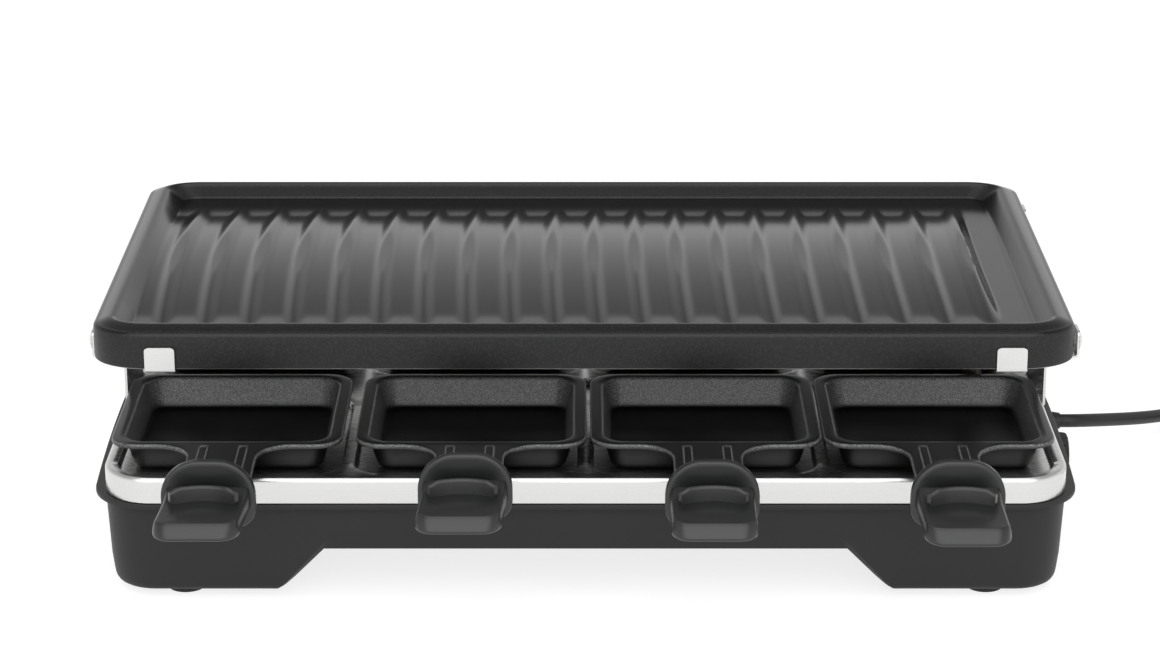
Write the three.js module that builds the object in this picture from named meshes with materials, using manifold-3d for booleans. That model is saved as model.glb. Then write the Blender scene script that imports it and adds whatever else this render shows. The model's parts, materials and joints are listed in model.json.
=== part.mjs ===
import * as THREE from 'three';
import { mergeVertices } from 'three/addons/utils/BufferGeometryUtils.js';
import Module from 'manifold-3d';

// A table raclette grill for eight people, in millimetres.
// X runs to the right along the long side, -Y is the front, +Z is up.

const wasm = await Module();
wasm.setup();

// Gaps that several pieces share
const fit = 0.3;
const overrun = 2;

// Points closer than this are one point
const weld = 1e-4;

// Feet
const foot = {
  radius: 9.2, height: 3.2, edge: 1.2, stemRadius: 3.6, stemLength: 6, insetX: 37.6, insetY: 18,
};

// Moulded base housing, an open tub with an arch through its middle
const base = {
  width: 458, depth: 256, height: 46.5, wall: 2.5, cornerRadius: 24, draft: 2.4,
  edgeInset: 5.5, edgeHeight: 5.2, creaseInset: 1.6, creaseHeight: 12,
  lipDepth: 3, lipThickness: 2.6, lipCornerWidth: 3.5, lipBow: 3.7, lipEdge: 0.6,
  archRoof: 21.6, archBand: 9.6, archBevel: 2.5, podFoot: 83.8, podTop: 104.9, podBand: 110,
  postRadius: 4.5, postBore: 1.9, standWidth: 18, standDepth: 30, standHeight: 16,
};

// Pressed steel tray with a pocket under each pan
const tray = {
  narrower: 1, deeper: 4, height: 12.7, sheet: 1, cornerRadius: 24, edgeRadius: 2.2,
  endBorder: 3.7, border: 7, pocketGap: 4.8, pocketBehind: 5,
  pocketDepth: 3, pocketCorner: 15, pocketDraft: 1.4, collarRadius: 4, collarHeight: 3,
};

// Pans, four along each long side
const panCount = 4;
const pan = {
  gap: 2.8, rimInset: 10, innerY: 21, height: 16, sheet: 1,
  flangeSide: 6, flangeEnd: 4.5, cornerRadius: 13, basinCorner: 12, wallDraft: 4.2,
  floorFillet: 3, lipDrop: 2.4, lipEdge: 0.6,
  tongueHalf: 15, tongueFillet: 17, tongueSheet: 1.3, tongueDrop: 0.6, tongueInHandle: 30,
  beadOffset: 9.3, beadWidth: 4.4, beadRun: 2.7, beadHeight: 0.8,
};

// How far each front pan lies to the right of its regular place, and how far its tongue is bent up
const frontOffsets = [-1.3, 1.9, 0.7, -1.2];
const frontLifts = [0, 3.4, 0, 0];

// Plastic pan handles: an upright guard with a thumb tab in front of it
const handle = {
  reach: 69, guardWidth: 42.6, guardFoot: 3, guardTop: 34.8, guardThickness: 4.6,
  guardTopRadius: 17, guardFootRadius: 9, guardBevel: 0.7,
  tabWidth: 38.6, tabLength: 42, tabThickness: 7.5, tabTop: 19.9, tabSag: 0.6, tabRise: 3.8, tabCorner: 9,
  tabNose: 2, tabRoot: 1.2, sagAt: 22,
  ridgeHalf: 15, ridgeBow: 4.5, ridgeWidth: 2.6, ridgeHeight: 6.9, ridgeSetback: 10,
};

// Sheet steel carriers that hold the grill plate up, one at each end
const carrier = {
  sheet: 1.2, height: 51.8, panelHalf: 45, panelGap: 1.8, strapWidth: 14, strapInset: 25.1,
  tabHeight: 12.7, tabRadius: 1.8, plateGap: 0.4, endGap: 1.2,
  lugLength: 14, lugInset: 20, lugHeight: 13, earRadius: 4.1, earReach: 1.9,
  footHalf: 12, footLength: 22, screwInset: 12, screwHole: 2.7,
};

// Cast grill plate, which lies a little to the left between its carriers
const plate = {
  wider: 2, shallower: 6, height: 20, cornerRadius: 18.3, wall: 4, rim: 10, rimRound: 1.8, rimFall: 2.4,
  crownRun: 1.2, crownFall: 0.2, floorDrop: 8.5, wallRun: 2.5, skirt: 3.4, skirtFoot: 0.8, offset: 0.9,
};

// Ribs on the grill plate: crowned along Y, and bowed a little to the left in plan
const ribCount = 20;
const rib = {
  firstInset: 30.4, lastInset: 36.6, endInset: 28, rise: 7.6, depth: 2.3, bow: 2.6, sink: 1.2, endRun: 9,
};

// Heating element, one bent tube under the plate
const element = {
  radius: 4, belowCarrierTop: 12.1, outerY: 75, innerY: 28, leftInset: 42, rightInset: 35, innerInset: 102,
  turnRadius: 16, legY: 9, legRadius: 12, holeGap: 0.45,
};

// Shelves on the carriers that the element lies on
const shelf = { sheet: 1.2, half: 40, reach: 38, notchHalf: 22, legHeight: 12, cornerRadius: 4 };

// Screws
const screw = {
  headRadius: 4.5, headHeight: 2.6, rimHeight: 1.3, crownRadius: 3.2,
  shankRadius: 2.3, shankLength: 8, postShankRadius: 1.6,
};

// Thermostat, its shaft and its knob on the right end wall
const control = {
  axisZ: 21.5, bodyLength: 17, bodyWidth: 32, bodyHeight: 26, bodyEdge: 2, bushRadius: 4.7, bushReach: 1.2,
  wallGap: 3, collarRadius: 7,
  shaftRadius: 3, shaftInBody: 9, shaftInKnob: 13,
  knobRadius: 11.8, knobLength: 16.2, knobGap: 1.6, knobFlute: 0.9, knobFaceEdge: 1.4,
  markWidth: 1.4, markDepth: 0.8, markInset: 2.5,
};
const knobFluteCount = 18;

// Terminal block for the element's two cold ends
const block = { length: 18, width: 40, height: 16, edge: 1.5 };

// Wires inside the base
const wire = { radius: 1.4, bend: 5, spread: 5, loop: 8 };

// Mains lead: relief, free lead, coil, tail and plug
const cordRadius = 3.5;
const relief = { y: 49, z: 21.5, length: 20.8, rootRadius: 7.5, tipRadius: 4.2, collarRadius: 9, collar: 2 };
const coil = { clear: 166, y: 115, outerRadius: 51, pitch: 8, layerRise: 8, startDeg: 135 };
const coilLoops = 6.375;
const climbLoops = 0.5;
const cordStep = 17.5;
const plug = {
  bodyRadius: 17.5, bodyLength: 22, neckRadius: 6.5, neckTipRadius: 5.5, neckRun: 17, neckLength: 24,
  faceEdge: 1.2, pinRadius: 2.4, pinLength: 19, pinInset: 6, pinHalfSpacing: 9.5, pinTip: 0.8,
};

// Steps round curves, and how far in the middle of a rounding lies
const cornerSteps = 3;
const roundSteps = 12;
const arcSteps = roundSteps / 2;
const cordSides = 8;
const loopSteps = 24;
const coilSides = 6;
const bendSteps = 4;
const ribRows = 10;
const roundMidShare = 1 - Math.SQRT1_2;
const quarterTurn = Math.PI / 2;

// Widths and depths worked out from the base
const trayWidth = base.width - tray.narrower;
const trayDepth = base.depth + tray.deeper;
const plateWidth = base.width + plate.wider;
const plateDepth = base.depth - plate.shallower;
const panPitch = (trayWidth - 2 * tray.endBorder) / panCount;
const panWidth = panPitch - pan.gap;
const panLength = trayDepth / 2 - pan.rimInset - pan.innerY;
const pocketWidth = panPitch - tray.pocketGap;
const pocketLength = panLength + pan.rimInset - tray.border + tray.pocketBehind;
const archRoofHalf = base.width / 2 - base.podTop;
const archFootHalf = base.width / 2 - base.podFoot;
const archBandHalf = base.width / 2 - base.podBand;
const ribFirstX = rib.firstInset - plateWidth / 2;
const ribLastX = plateWidth / 2 - rib.lastInset;
const ribReach = plateDepth / 2 - rib.endInset;
const elementLeftX = element.leftInset - plateWidth / 2;
const elementRightX = plateWidth / 2 - element.rightInset;
const elementInnerX = plateWidth / 2 - element.innerInset;

// Heights worked out from the sizes above
const baseBottom = foot.height + fit;
const baseTop = baseBottom + base.height;
const baseFloor = baseBottom + base.wall;
const archRoofZ = baseBottom + base.archRoof;
const trayBottom = baseTop + fit;
const trayTop = trayBottom + tray.height;
const panBottom = trayTop - tray.pocketDepth + fit;
const carrierBottom = trayTop + fit;
const carrierTop = carrierBottom + carrier.height;
const plateBottom = carrierTop + fit;
const plateTop = plateBottom + plate.height;
const plateFloor = plateTop - plate.floorDrop;
const elementZ = carrierTop - element.belowCarrierTop;
const shelfTop = elementZ - element.radius - fit;
const rowSpan = panPitch * (panCount - 1);
const panelInner = (rowSpan + panWidth) / 2 + carrier.panelGap;
const panelOuter = panelInner + carrier.sheet;
const wallTopHalf = base.width / 2;

// Mesh and solid helpers

function toSolid(geometry) {
  const bare = geometry.clone();
  bare.deleteAttribute('normal');
  bare.deleteAttribute('uv');
  const merged = mergeVertices(bare, weld);
  return new wasm.Manifold(new wasm.Mesh({
    numProp: 3,
    vertProperties: new Float32Array(merged.attributes.position.array),
    triVerts: new Uint32Array(merged.index.array),
  }));
}

function toGeometry(solid) {
  const mesh = solid.getMesh();
  const geometry = new THREE.BufferGeometry();
  geometry.setAttribute('position', new THREE.BufferAttribute(mesh.vertProperties, 3));
  geometry.setIndex(new THREE.BufferAttribute(mesh.triVerts, 1));
  return geometry;
}

function join(first, ...others) {
  return others.reduce((sum, geometry) => sum.add(toSolid(geometry)), toSolid(first));
}

function cut(solid, ...tools) {
  return tools.reduce((left, geometry) => left.subtract(toSolid(geometry)), solid);
}

function moved(geometry, x, y, z) {
  return geometry.translate(x, y, z);
}

function box(x0, x1, y0, y1, z0, z1) {
  const geometry = new THREE.BoxGeometry(x1 - x0, y1 - y0, z1 - z0);
  return moved(geometry, (x0 + x1) / 2, (y0 + y1) / 2, (z0 + z1) / 2);
}

// A mirror image across X = 0 with its faces turned right side out again
function mirrored(geometry) {
  const copy = mergeVertices(geometry.clone());
  copy.scale(-1, 1, 1);
  const index = copy.index.array;
  for (let i = 0; i < index.length; i += 3) {
    const second = index[i + 1];
    index[i + 1] = index[i + 2];
    index[i + 2] = second;
  }
  return copy;
}

// Skin through rings of equal count, closed by a fan at each end
function loft(rings) {
  const count = rings[0].length;
  const points = rings.flat();
  const index = [];
  for (let r = 0; r + 1 < rings.length; r += 1) {
    for (let i = 0; i < count; i += 1) {
      const a = r * count + i;
      const b = r * count + (i + 1) % count;
      index.push(a, b, b + count, a, b + count, a + count);
    }
  }
  for (const [ring, flip] of [[0, true], [rings.length - 1, false]]) {
    const centre = new THREE.Vector3();
    rings[ring].forEach((p) => centre.addScaledVector(p, 1 / count));
    points.push(centre);
    for (let i = 0; i < count; i += 1) {
      const a = ring * count + i;
      const b = ring * count + (i + 1) % count;
      index.push(points.length - 1, flip ? b : a, flip ? a : b);
    }
  }
  const geometry = new THREE.BufferGeometry().setFromPoints(points);
  geometry.setIndex(index);
  return geometry;
}

// Rounded rectangle at height z, with its two end sides bowed outwards by bow
const sideShares = [0.2, 0.5, 0.8];
function ring(halfX, halfY, radius, z, { bow = 0, bowed = false, y = 0 } = {}) {
  const r = Math.min(radius, halfX, halfY);
  const points = [];
  const corners = [[1, -1], [1, 1], [-1, 1], [-1, -1]];
  corners.forEach(([sx, sy], corner) => {
    for (let i = 0; i <= cornerSteps; i += 1) {
      const angle = (corner - 1 + i / cornerSteps) * quarterTurn;
      const px = sx * (halfX - r) + r * Math.cos(angle);
      const py = sy * (halfY - r) + r * Math.sin(angle);
      points.push(new THREE.Vector3(px, py, z));
    }
    if (bowed && corner % 2 === 0) {
      for (const share of sideShares) {
        points.push(new THREE.Vector3(sx * halfX, sx * (2 * share - 1) * (halfY - r), z));
      }
    }
  });
  for (const p of points) {
    const share = Math.max(0, 1 - (p.y / (halfY - r)) ** 2);
    p.x += Math.abs(p.x) > halfX - r ? Math.sign(p.x) * bow * share : 0;
    p.y += y;
  }
  return points;
}

// Extrusions along each axis
function alongZ(shape, z0, z1, curveSegments = cornerSteps) {
  const geometry = new THREE.ExtrudeGeometry(shape, { depth: z1 - z0, bevelEnabled: false, curveSegments });
  return moved(geometry, 0, 0, z0);
}

function alongY(shape, y0, y1, curveSegments = cornerSteps) {
  const geometry = new THREE.ExtrudeGeometry(shape, { depth: y1 - y0, bevelEnabled: false, curveSegments });
  geometry.rotateX(Math.PI / 2);
  return moved(geometry, 0, y1, 0);
}

function alongX(shape, x0, x1, curveSegments = cornerSteps) {
  const geometry = new THREE.ExtrudeGeometry(shape, { depth: x1 - x0, bevelEnabled: false, curveSegments });
  geometry.rotateX(Math.PI / 2);
  geometry.rotateZ(Math.PI / 2);
  return moved(geometry, x0, 0, 0);
}

// A closed outline; a point with a third value is rounded to that radius
function outline(points) {
  const shape = new THREE.Shape();
  const count = points.length;
  points.forEach(([x, y, radius = 0], i) => {
    const here = new THREE.Vector2(x, y);
    const before = new THREE.Vector2(...points[(i + count - 1) % count]);
    const after = new THREE.Vector2(...points[(i + 1) % count]);
    const inward = before.sub(here);
    const outward = after.sub(here);
    const half = inward.angleTo(outward) / 2;
    const limit = Math.min(inward.length(), outward.length()) / 2;
    const run = radius > 0 ? Math.min(radius / Math.tan(half), limit) : 0;
    const start = here.clone().addScaledVector(inward.normalize(), run);
    const end = here.clone().addScaledVector(outward.normalize(), run);
    if (i === 0) {
      shape.moveTo(start.x, start.y);
    } else {
      shape.lineTo(start.x, start.y);
    }
    if (run > 0) {
      shape.quadraticCurveTo(x, y, end.x, end.y);
    }
  });
  shape.closePath();
  return shape;
}

function circleShape(radius) {
  return new THREE.Shape().absarc(0, 0, radius, 0, 2 * Math.PI);
}

// Round rods and the holes they pass through have the same sides, so that their gap is even
function rod(along, radius, from, to) {
  return along(circleShape(radius), from, to, arcSteps);
}

function revolved(profile) {
  const geometry = new THREE.LatheGeometry(profile.map(([r, z]) => new THREE.Vector2(r, z)), roundSteps);
  return geometry.rotateX(Math.PI / 2);
}

// A path that is stepped exactly at its own stations
class StationPath extends THREE.Curve {
  constructor(stations) {
    super();
    this.stations = stations;
  }

  getPoint(t) {
    const last = this.stations.length - 1;
    const place = Math.min(Math.max(t, 0), 1) * last;
    const i = Math.min(Math.floor(place), last - 1);
    return this.stations[i].clone().lerp(this.stations[i + 1], place - i);
  }

  getPointAt(u) {
    return this.getPoint(u);
  }

  getTangentAt(u) {
    const last = this.stations.length - 1;
    const i = Math.round(u * last);
    const before = this.stations[Math.max(i - 1, 0)];
    const after = this.stations[Math.min(i + 1, last)];
    return after.clone().sub(before).normalize();
  }
}

function tube(stations, radius, sides) {
  const section = new THREE.Shape();
  for (let i = 0; i < sides; i += 1) {
    const angle = 2 * Math.PI * (i + 0.5) / sides;
    section[i === 0 ? 'moveTo' : 'lineTo'](radius * Math.cos(angle), radius * Math.sin(angle));
  }
  section.closePath();
  const path = new StationPath(stations);
  const steps = stations.length - 1;
  return new THREE.ExtrudeGeometry(section, { steps, extrudePath: path, bevelEnabled: false });
}

// Stations along straight runs joined by bends of one radius
function bentLine(corners, radii) {
  const stations = [corners[0].clone()];
  for (let i = 1; i + 1 < corners.length; i += 1) {
    const back = corners[i - 1].clone().sub(corners[i]).normalize();
    const on = corners[i + 1].clone().sub(corners[i]).normalize();
    const half = back.angleTo(on) / 2;
    const run = radii[i - 1] / Math.tan(half);
    const inward = back.clone().add(on).normalize();
    const centre = corners[i].clone().addScaledVector(inward, radii[i - 1] / Math.sin(half));
    const start = corners[i].clone().addScaledVector(back, run).sub(centre);
    const end = corners[i].clone().addScaledVector(on, run).sub(centre);
    const sweep = Math.PI - 2 * half;
    for (let s = 0; s <= bendSteps; s += 1) {
      const angle = sweep * s / bendSteps;
      const point = start.clone().multiplyScalar(Math.sin(sweep - angle) / Math.sin(sweep));
      point.addScaledVector(end, Math.sin(angle) / Math.sin(sweep));
      stations.push(point.add(centre));
    }
  }
  stations.push(corners[corners.length - 1].clone());
  return stations;
}

// Cast grill plate with its ribs

function ribHeight(crest, y, endShare) {
  const crown = rib.rise * (1 - (y / ribReach) ** 2);
  const valley = crown - rib.depth * (1 - crest);
  return valley * (1 - endShare) - rib.sink * endShare;
}

// Shares of a pitch either side of a crest, and how high the rib stands there
const crestShare = 0.19;
const footShare = 0.32;
const crestEdgeShare = 0.88;
const endShares = [0.3, 0.65, 1];
const endCurve = 1.5;
function ribField() {
  const pitch = (ribLastX - ribFirstX) / (ribCount - 1);
  const wallFoot = plateWidth / 2 - plate.rim - plate.wallRun;
  const columns = [{ x: -wallFoot - plate.wall / 2, crest: 0, endShare: 0 }];
  const add = (share, crest) => columns.push({ x: ribFirstX + share * pitch, crest, endShare: 0 });
  for (let i = 0; i < ribCount; i += 1) {
    add(i - footShare, 0);
    add(i - crestShare, crestEdgeShare);
    add(i, 1);
    if (i < ribCount - 1) {
      add(i + crestShare, crestEdgeShare);
      add(i + footShare, 0);
    }
  }
  for (const share of endShares) {
    columns.push({ x: ribLastX + share * rib.endRun, crest: 1, endShare: share ** endCurve });
  }
  const reach = ribReach + rib.sink;
  const top = [];
  for (let j = 0; j <= ribRows; j += 1) {
    const y = reach * (2 * j / ribRows - 1);
    const bow = -rib.bow * (1 - (y / ribReach) ** 2);
    for (const { x, crest, endShare } of columns) {
      const height = Math.max(ribHeight(crest, y, endShare), -rib.sink);
      top.push(new THREE.Vector3(x + bow, y, plateFloor + height));
    }
  }
  return gridSolid(top, columns.length, plateFloor - plate.wall / 2);
}

// A solid under a grid of top points, down to a flat bottom
function gridSolid(top, columnCount, bottomZ) {
  const rowCount = top.length / columnCount;
  const bottom = top.map((p) => new THREE.Vector3(p.x, p.y, bottomZ));
  const index = [];
  const under = top.length;
  for (let j = 0; j + 1 < rowCount; j += 1) {
    for (let i = 0; i + 1 < columnCount; i += 1) {
      const a = j * columnCount + i;
      const b = a + 1;
      const c = b + columnCount;
      const d = a + columnCount;
      index.push(a, b, c, a, c, d);
      index.push(under + a, under + c, under + b, under + a, under + d, under + c);
    }
  }
  const edge = [];
  for (let i = 0; i < columnCount; i += 1) {
    edge.push(i);
  }
  for (let j = 1; j < rowCount; j += 1) {
    edge.push(j * columnCount + columnCount - 1);
  }
  for (let i = columnCount - 2; i >= 0; i -= 1) {
    edge.push((rowCount - 1) * columnCount + i);
  }
  for (let j = rowCount - 2; j > 0; j -= 1) {
    edge.push(j * columnCount);
  }
  edge.forEach((a, i) => {
    const b = edge[(i + 1) % edge.length];
    index.push(under + a, under + b, b, under + a, b, a);
  });
  const geometry = new THREE.BufferGeometry().setFromPoints([...top, ...bottom]);
  geometry.setIndex(index);
  return geometry;
}

function grillPlate() {
  const halfX = plateWidth / 2;
  const halfY = plateDepth / 2;
  const at = (inset, z) => {
    const radius = plate.cornerRadius - Math.min(inset, plate.rim);
    return ring(halfX - inset, halfY - inset, radius, z);
  };
  const ceiling = plateFloor - plate.wall;
  const edgeTop = plateTop - plate.rimFall;
  const body = loft([
    at(plate.rim + plate.wallRun, ceiling),
    at(plate.rim + plate.wallRun - plate.wall, ceiling),
    at(plate.skirt, ceiling - plate.wall),
    at(plate.skirt, plateBottom),
    at(plate.skirtFoot, plateBottom),
    at(0, plateBottom + plate.skirtFoot),
    at(0, edgeTop - plate.rimRound),
    at(plate.rimRound * roundMidShare, edgeTop - plate.rimRound * roundMidShare),
    at(plate.rimRound, edgeTop),
    at(plate.rim - plate.crownRun, plateTop),
    at(plate.rim, plateTop - plate.crownFall),
    at(plate.rim + plate.wallRun, plateFloor),
  ]);
  return toGeometry(join(body, ribField()));
}

// Pressed steel tray

function panCentres() {
  const centres = [];
  const y = pan.innerY + panLength / 2;
  for (const side of [-1, 1]) {
    for (let i = 0; i < panCount; i += 1) {
      const x = i * panPitch - rowSpan / 2;
      const offset = side < 0 ? frontOffsets[i] : 0;
      const lift = side < 0 ? frontLifts[i] : 0;
      centres.push({ x, y: side * y, side, offset, lift });
    }
  }
  return centres;
}

function panTray() {
  const halfX = trayWidth / 2;
  const halfY = trayDepth / 2;
  const at = (inset, z) => ring(halfX - inset, halfY - inset, tray.cornerRadius - inset, z);
  const inner = tray.sheet;
  const body = loft([
    at(inner + tray.edgeRadius, trayTop - tray.sheet),
    at(inner, trayTop - tray.sheet - tray.edgeRadius),
    at(inner, trayBottom),
    at(0, trayBottom),
    at(0, trayTop - tray.edgeRadius),
    at(tray.edgeRadius * roundMidShare, trayTop - tray.edgeRadius * roundMidShare),
    at(tray.edgeRadius, trayTop),
  ]);
  const blocks = [];
  const voids = [];
  const pocketFloor = trayTop - tray.pocketDepth;
  const y = halfY - tray.border - pocketLength / 2;
  for (const centre of panCentres()) {
    const place = (geometry) => moved(geometry, centre.x, centre.side * y, 0);
    const pocket = (grow, z) => ring(pocketWidth / 2 + grow, pocketLength / 2 + grow, tray.pocketCorner, z);
    blocks.push(place(loft([
      pocket(tray.sheet - tray.pocketDraft, pocketFloor - tray.sheet),
      pocket(tray.sheet, trayTop - tray.sheet / 2),
    ])));
    voids.push(place(loft([
      pocket(-tray.pocketDraft, pocketFloor),
      pocket(0, trayTop),
      pocket(0, trayTop + overrun),
    ])));
  }
  const collars = [];
  const holes = [];
  for (const x of [-screwX(), screwX()]) {
    const collar = rod(alongZ, tray.collarRadius, trayTop - tray.collarHeight, trayTop - tray.sheet / 2);
    collars.push(moved(collar, x, 0, 0));
    holes.push(screwHole(x, screw.shankRadius + fit));
  }
  holes.push(screwHole(0, screw.postShankRadius + fit));
  for (const legY of [-element.legY, element.legY]) {
    const hole = rod(alongZ, element.radius + element.holeGap, trayBottom, trayTop + overrun);
    holes.push(moved(hole, elementRightX, legY, 0));
  }
  return toGeometry(cut(join(body, ...blocks, ...collars), ...voids, ...holes));
}

function screwX() {
  return panelOuter - carrier.screwInset;
}

function screwHole(x, radius) {
  return moved(rod(alongZ, radius, trayBottom, carrierBottom + overrun), x, 0, 0);
}

// Base housing

// The arch's outline at y, grown by a wall; on the front and back it flares up to a band's height
function archRing(flared, grow, y) {
  const height = base.archRoof + (flared ? base.archBand : 0);
  const half = flared ? archBandHalf : archRoofHalf;
  const lean = (archFootHalf - half) / height;
  const slant = grow * Math.sqrt(1 + lean ** 2);
  const roofZ = baseBottom + height + grow;
  const roofHalf = half - lean * grow + slant;
  const footZ = baseBottom - overrun;
  const footHalf = archFootHalf + lean * overrun + slant;
  return [[-footHalf, footZ], [-roofHalf, roofZ], [roofHalf, roofZ], [footHalf, footZ]]
    .map(([x, z]) => new THREE.Vector3(x, y, z));
}

function baseHousing() {
  const halfX = base.width / 2;
  const halfY = base.depth / 2;
  const lipX = halfX + base.lipCornerWidth;
  const lipY = halfY + base.lipDepth;
  const lipBottom = baseTop - base.lipThickness;
  const at = (inset, z) => ring(halfX - inset, halfY - inset, base.cornerRadius, z, { bowed: true });
  const bowed = { bow: base.lipBow, bowed: true };
  const lip = (inset, z) => ring(lipX - inset, lipY - inset, base.cornerRadius, z, bowed);
  const creaseZ = baseBottom + base.creaseHeight;
  const creaseInset = base.draft * (1 - base.creaseHeight / base.height);
  const outer = loft([
    at(base.draft + base.edgeInset, baseBottom),
    at(base.draft + base.edgeInset * roundMidShare, baseBottom + base.edgeHeight * roundMidShare),
    at(base.draft + base.creaseInset, baseBottom + base.edgeHeight),
    at(creaseInset, creaseZ),
    at(0, lipBottom),
    lip(base.lipEdge, lipBottom),
    lip(0, lipBottom + base.lipEdge),
    lip(0, baseTop - base.lipEdge),
    lip(base.lipEdge, baseTop),
  ]);
  const cavity = loft([
    at(base.draft + base.edgeInset + base.wall, baseFloor),
    at(base.draft + base.creaseInset + base.wall, baseFloor + base.edgeHeight),
    at(creaseInset + base.wall, creaseZ),
    at(base.wall, lipBottom),
    at(base.wall, baseTop + overrun),
  ]);
  const arch = loft([
    archRing(true, 0, -halfY - base.lipDepth),
    archRing(true, 0, -halfY + creaseInset),
    archRing(false, 0, -halfY + creaseInset + base.archBevel),
    archRing(false, 0, halfY - creaseInset - base.archBevel),
    archRing(true, 0, halfY - creaseInset),
    archRing(true, 0, halfY + base.lipDepth),
  ]);
  const archKeep = loft([
    archRing(true, base.wall, -halfY),
    archRing(true, base.wall, -halfY + base.wall + creaseInset),
    archRing(false, base.wall, -halfY + base.wall + creaseInset + base.archBevel),
    archRing(false, base.wall, halfY - base.wall - creaseInset - base.archBevel),
    archRing(true, base.wall, halfY - base.wall - creaseInset),
    archRing(true, base.wall, halfY),
  ]);
  const hollow = cut(toSolid(cavity), archKeep);
  const postTop = trayTop - tray.sheet - fit;
  const post = revolved([
    [0, archRoofZ + base.wall / 2], [base.postRadius, archRoofZ + base.wall / 2],
    [base.postRadius, postTop], [base.postBore, postTop],
    [base.postBore, postTop - screw.shankLength], [0, postTop - screw.shankLength],
  ]);
  const stand = box(
    elementRightX - base.standWidth / 2, elementRightX + base.standWidth / 2,
    -base.standDepth / 2, base.standDepth / 2, baseBottom + base.wall / 2, baseFloor + base.standHeight,
  );
  const holes = footPlaces().map(([x, y]) => moved(
    rod(alongZ, foot.stemRadius + fit, baseBottom - overrun, baseFloor + overrun), x, y, 0,
  ));
  const holeFrom = wallTopHalf - base.wall - base.draft - overrun;
  const holeTo = wallTopHalf + overrun;
  const bushHole = rod(alongX, control.bushRadius + fit, holeFrom, holeTo);
  const cordHole = rod(alongX, relief.rootRadius + fit, holeFrom, holeTo);
  holes.push(moved(bushHole, 0, 0, baseBottom + control.axisZ));
  holes.push(moved(cordHole, 0, relief.y, baseBottom + relief.z));
  const shell = toSolid(outer).subtract(hollow);
  return toGeometry(cut(shell, arch, ...holes).add(toSolid(post)).add(toSolid(stand)));
}

function footPlaces() {
  const x = base.width / 2 - foot.insetX;
  const y = base.depth / 2 - foot.insetY;
  return [[-x, -y], [x, -y], [x, y], [-x, y]];
}

function rubberFoot() {
  return revolved([
    [0, 0], [foot.radius - foot.edge, 0], [foot.radius, foot.edge], [foot.radius, foot.height],
    [foot.stemRadius, foot.height], [foot.stemRadius, foot.height + foot.stemLength],
    [0, foot.height + foot.stemLength],
  ]);
}

// Pans

function tongueOutline(grow, endY) {
  const half = pan.tongueHalf + grow;
  const rootY = -panLength / 2 + pan.sheet;
  const filletY = -panLength / 2 - pan.tongueFillet;
  const shape = new THREE.Shape();
  shape.moveTo(half + pan.tongueFillet, rootY);
  shape.lineTo(half + pan.tongueFillet, -panLength / 2);
  shape.absarc(half + pan.tongueFillet, filletY, pan.tongueFillet, Math.PI / 2, Math.PI, false);
  shape.lineTo(half, endY);
  shape.lineTo(-half, endY);
  shape.lineTo(-half, filletY);
  shape.absarc(-half - pan.tongueFillet, filletY, pan.tongueFillet, 0, Math.PI / 2, false);
  shape.lineTo(-half - pan.tongueFillet, rootY);
  shape.closePath();
  return shape;
}

// Side view of the tongue, level at the pan and falling towards the handle
function tongueSide(grow, endY, rootY, lift) {
  const top = pan.height + grow;
  const low = pan.height - pan.tongueSheet - grow;
  const kneeY = -panLength / 2 - pan.tongueSheet;
  const endDrop = (pan.tongueDrop - lift) * (kneeY - endY) / handle.reach;
  return outline([
    [rootY, low], [rootY, top], [kneeY, top], [endY, top - endDrop], [endY, low - endDrop], [kneeY, low],
  ]);
}

function tongue(grow, lift) {
  const endY = -panLength / 2 - handle.reach - pan.tongueInHandle - grow;
  const rootY = -panLength / 2 + pan.sheet;
  const half = pan.tongueHalf + pan.tongueFillet + overrun;
  const plan = toSolid(alongZ(tongueOutline(grow, endY), -pan.height, 2 * pan.height));
  return plan.intersect(toSolid(alongX(tongueSide(grow, endY, rootY, lift), -half, half)));
}

function tongueBeads(lift) {
  const startY = -panLength / 2 - pan.beadRun;
  const endY = -panLength / 2 - handle.reach + handle.guardThickness;
  const drop = (y) => (pan.tongueDrop - lift) * (-panLength / 2 - y) / handle.reach;
  const side = outline([
    [startY, pan.height - pan.tongueSheet / 2], [startY - pan.beadRun, pan.height + pan.beadHeight],
    [endY, pan.height + pan.beadHeight - drop(endY)], [endY, pan.height - pan.tongueSheet / 2 - drop(endY)],
  ]);
  return [-1, 1].map((s) => {
    const x = s * pan.beadOffset;
    return alongX(side, x - pan.beadWidth / 2, x + pan.beadWidth / 2);
  });
}

function pressedPan(lift) {
  const halfX = panWidth / 2;
  const halfY = panLength / 2;
  const top = pan.height;
  const at = (insetX, insetY, radius, z) => ring(halfX - insetX, halfY - insetY, radius, z);
  const basin = (inset, z) => {
    return at(pan.flangeSide + inset, pan.flangeEnd + inset, pan.basinCorner - inset / 2, z);
  };
  const lip = (inset, z) => at(inset, inset, pan.cornerRadius - inset, z);
  const body = loft([
    basin(pan.wallDraft + pan.floorFillet - pan.sheet, 0),
    basin(pan.wallDraft - pan.sheet, pan.floorFillet),
    basin(-pan.sheet, top - pan.sheet),
    lip(pan.sheet, top - pan.sheet),
    lip(pan.sheet, top - pan.lipDrop),
    lip(0, top - pan.lipDrop),
    lip(0, top - pan.lipEdge),
    lip(pan.lipEdge, top),
    basin(-pan.lipEdge, top),
    basin(0, top - pan.lipEdge),
    basin(pan.wallDraft, pan.floorFillet + pan.sheet),
    basin(pan.wallDraft + pan.floorFillet, pan.sheet),
  ]);
  const solid = join(body, ...tongueBeads(lift)).add(tongue(0, lift));
  const inside = loft([
    basin(pan.wallDraft + pan.floorFillet, pan.sheet),
    basin(pan.wallDraft, pan.floorFillet + pan.sheet),
    basin(0, top - pan.lipEdge),
    basin(0, top + overrun),
  ]);
  return toGeometry(cut(solid, inside));
}

// Handles, drawn in the pan's own frame

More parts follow.
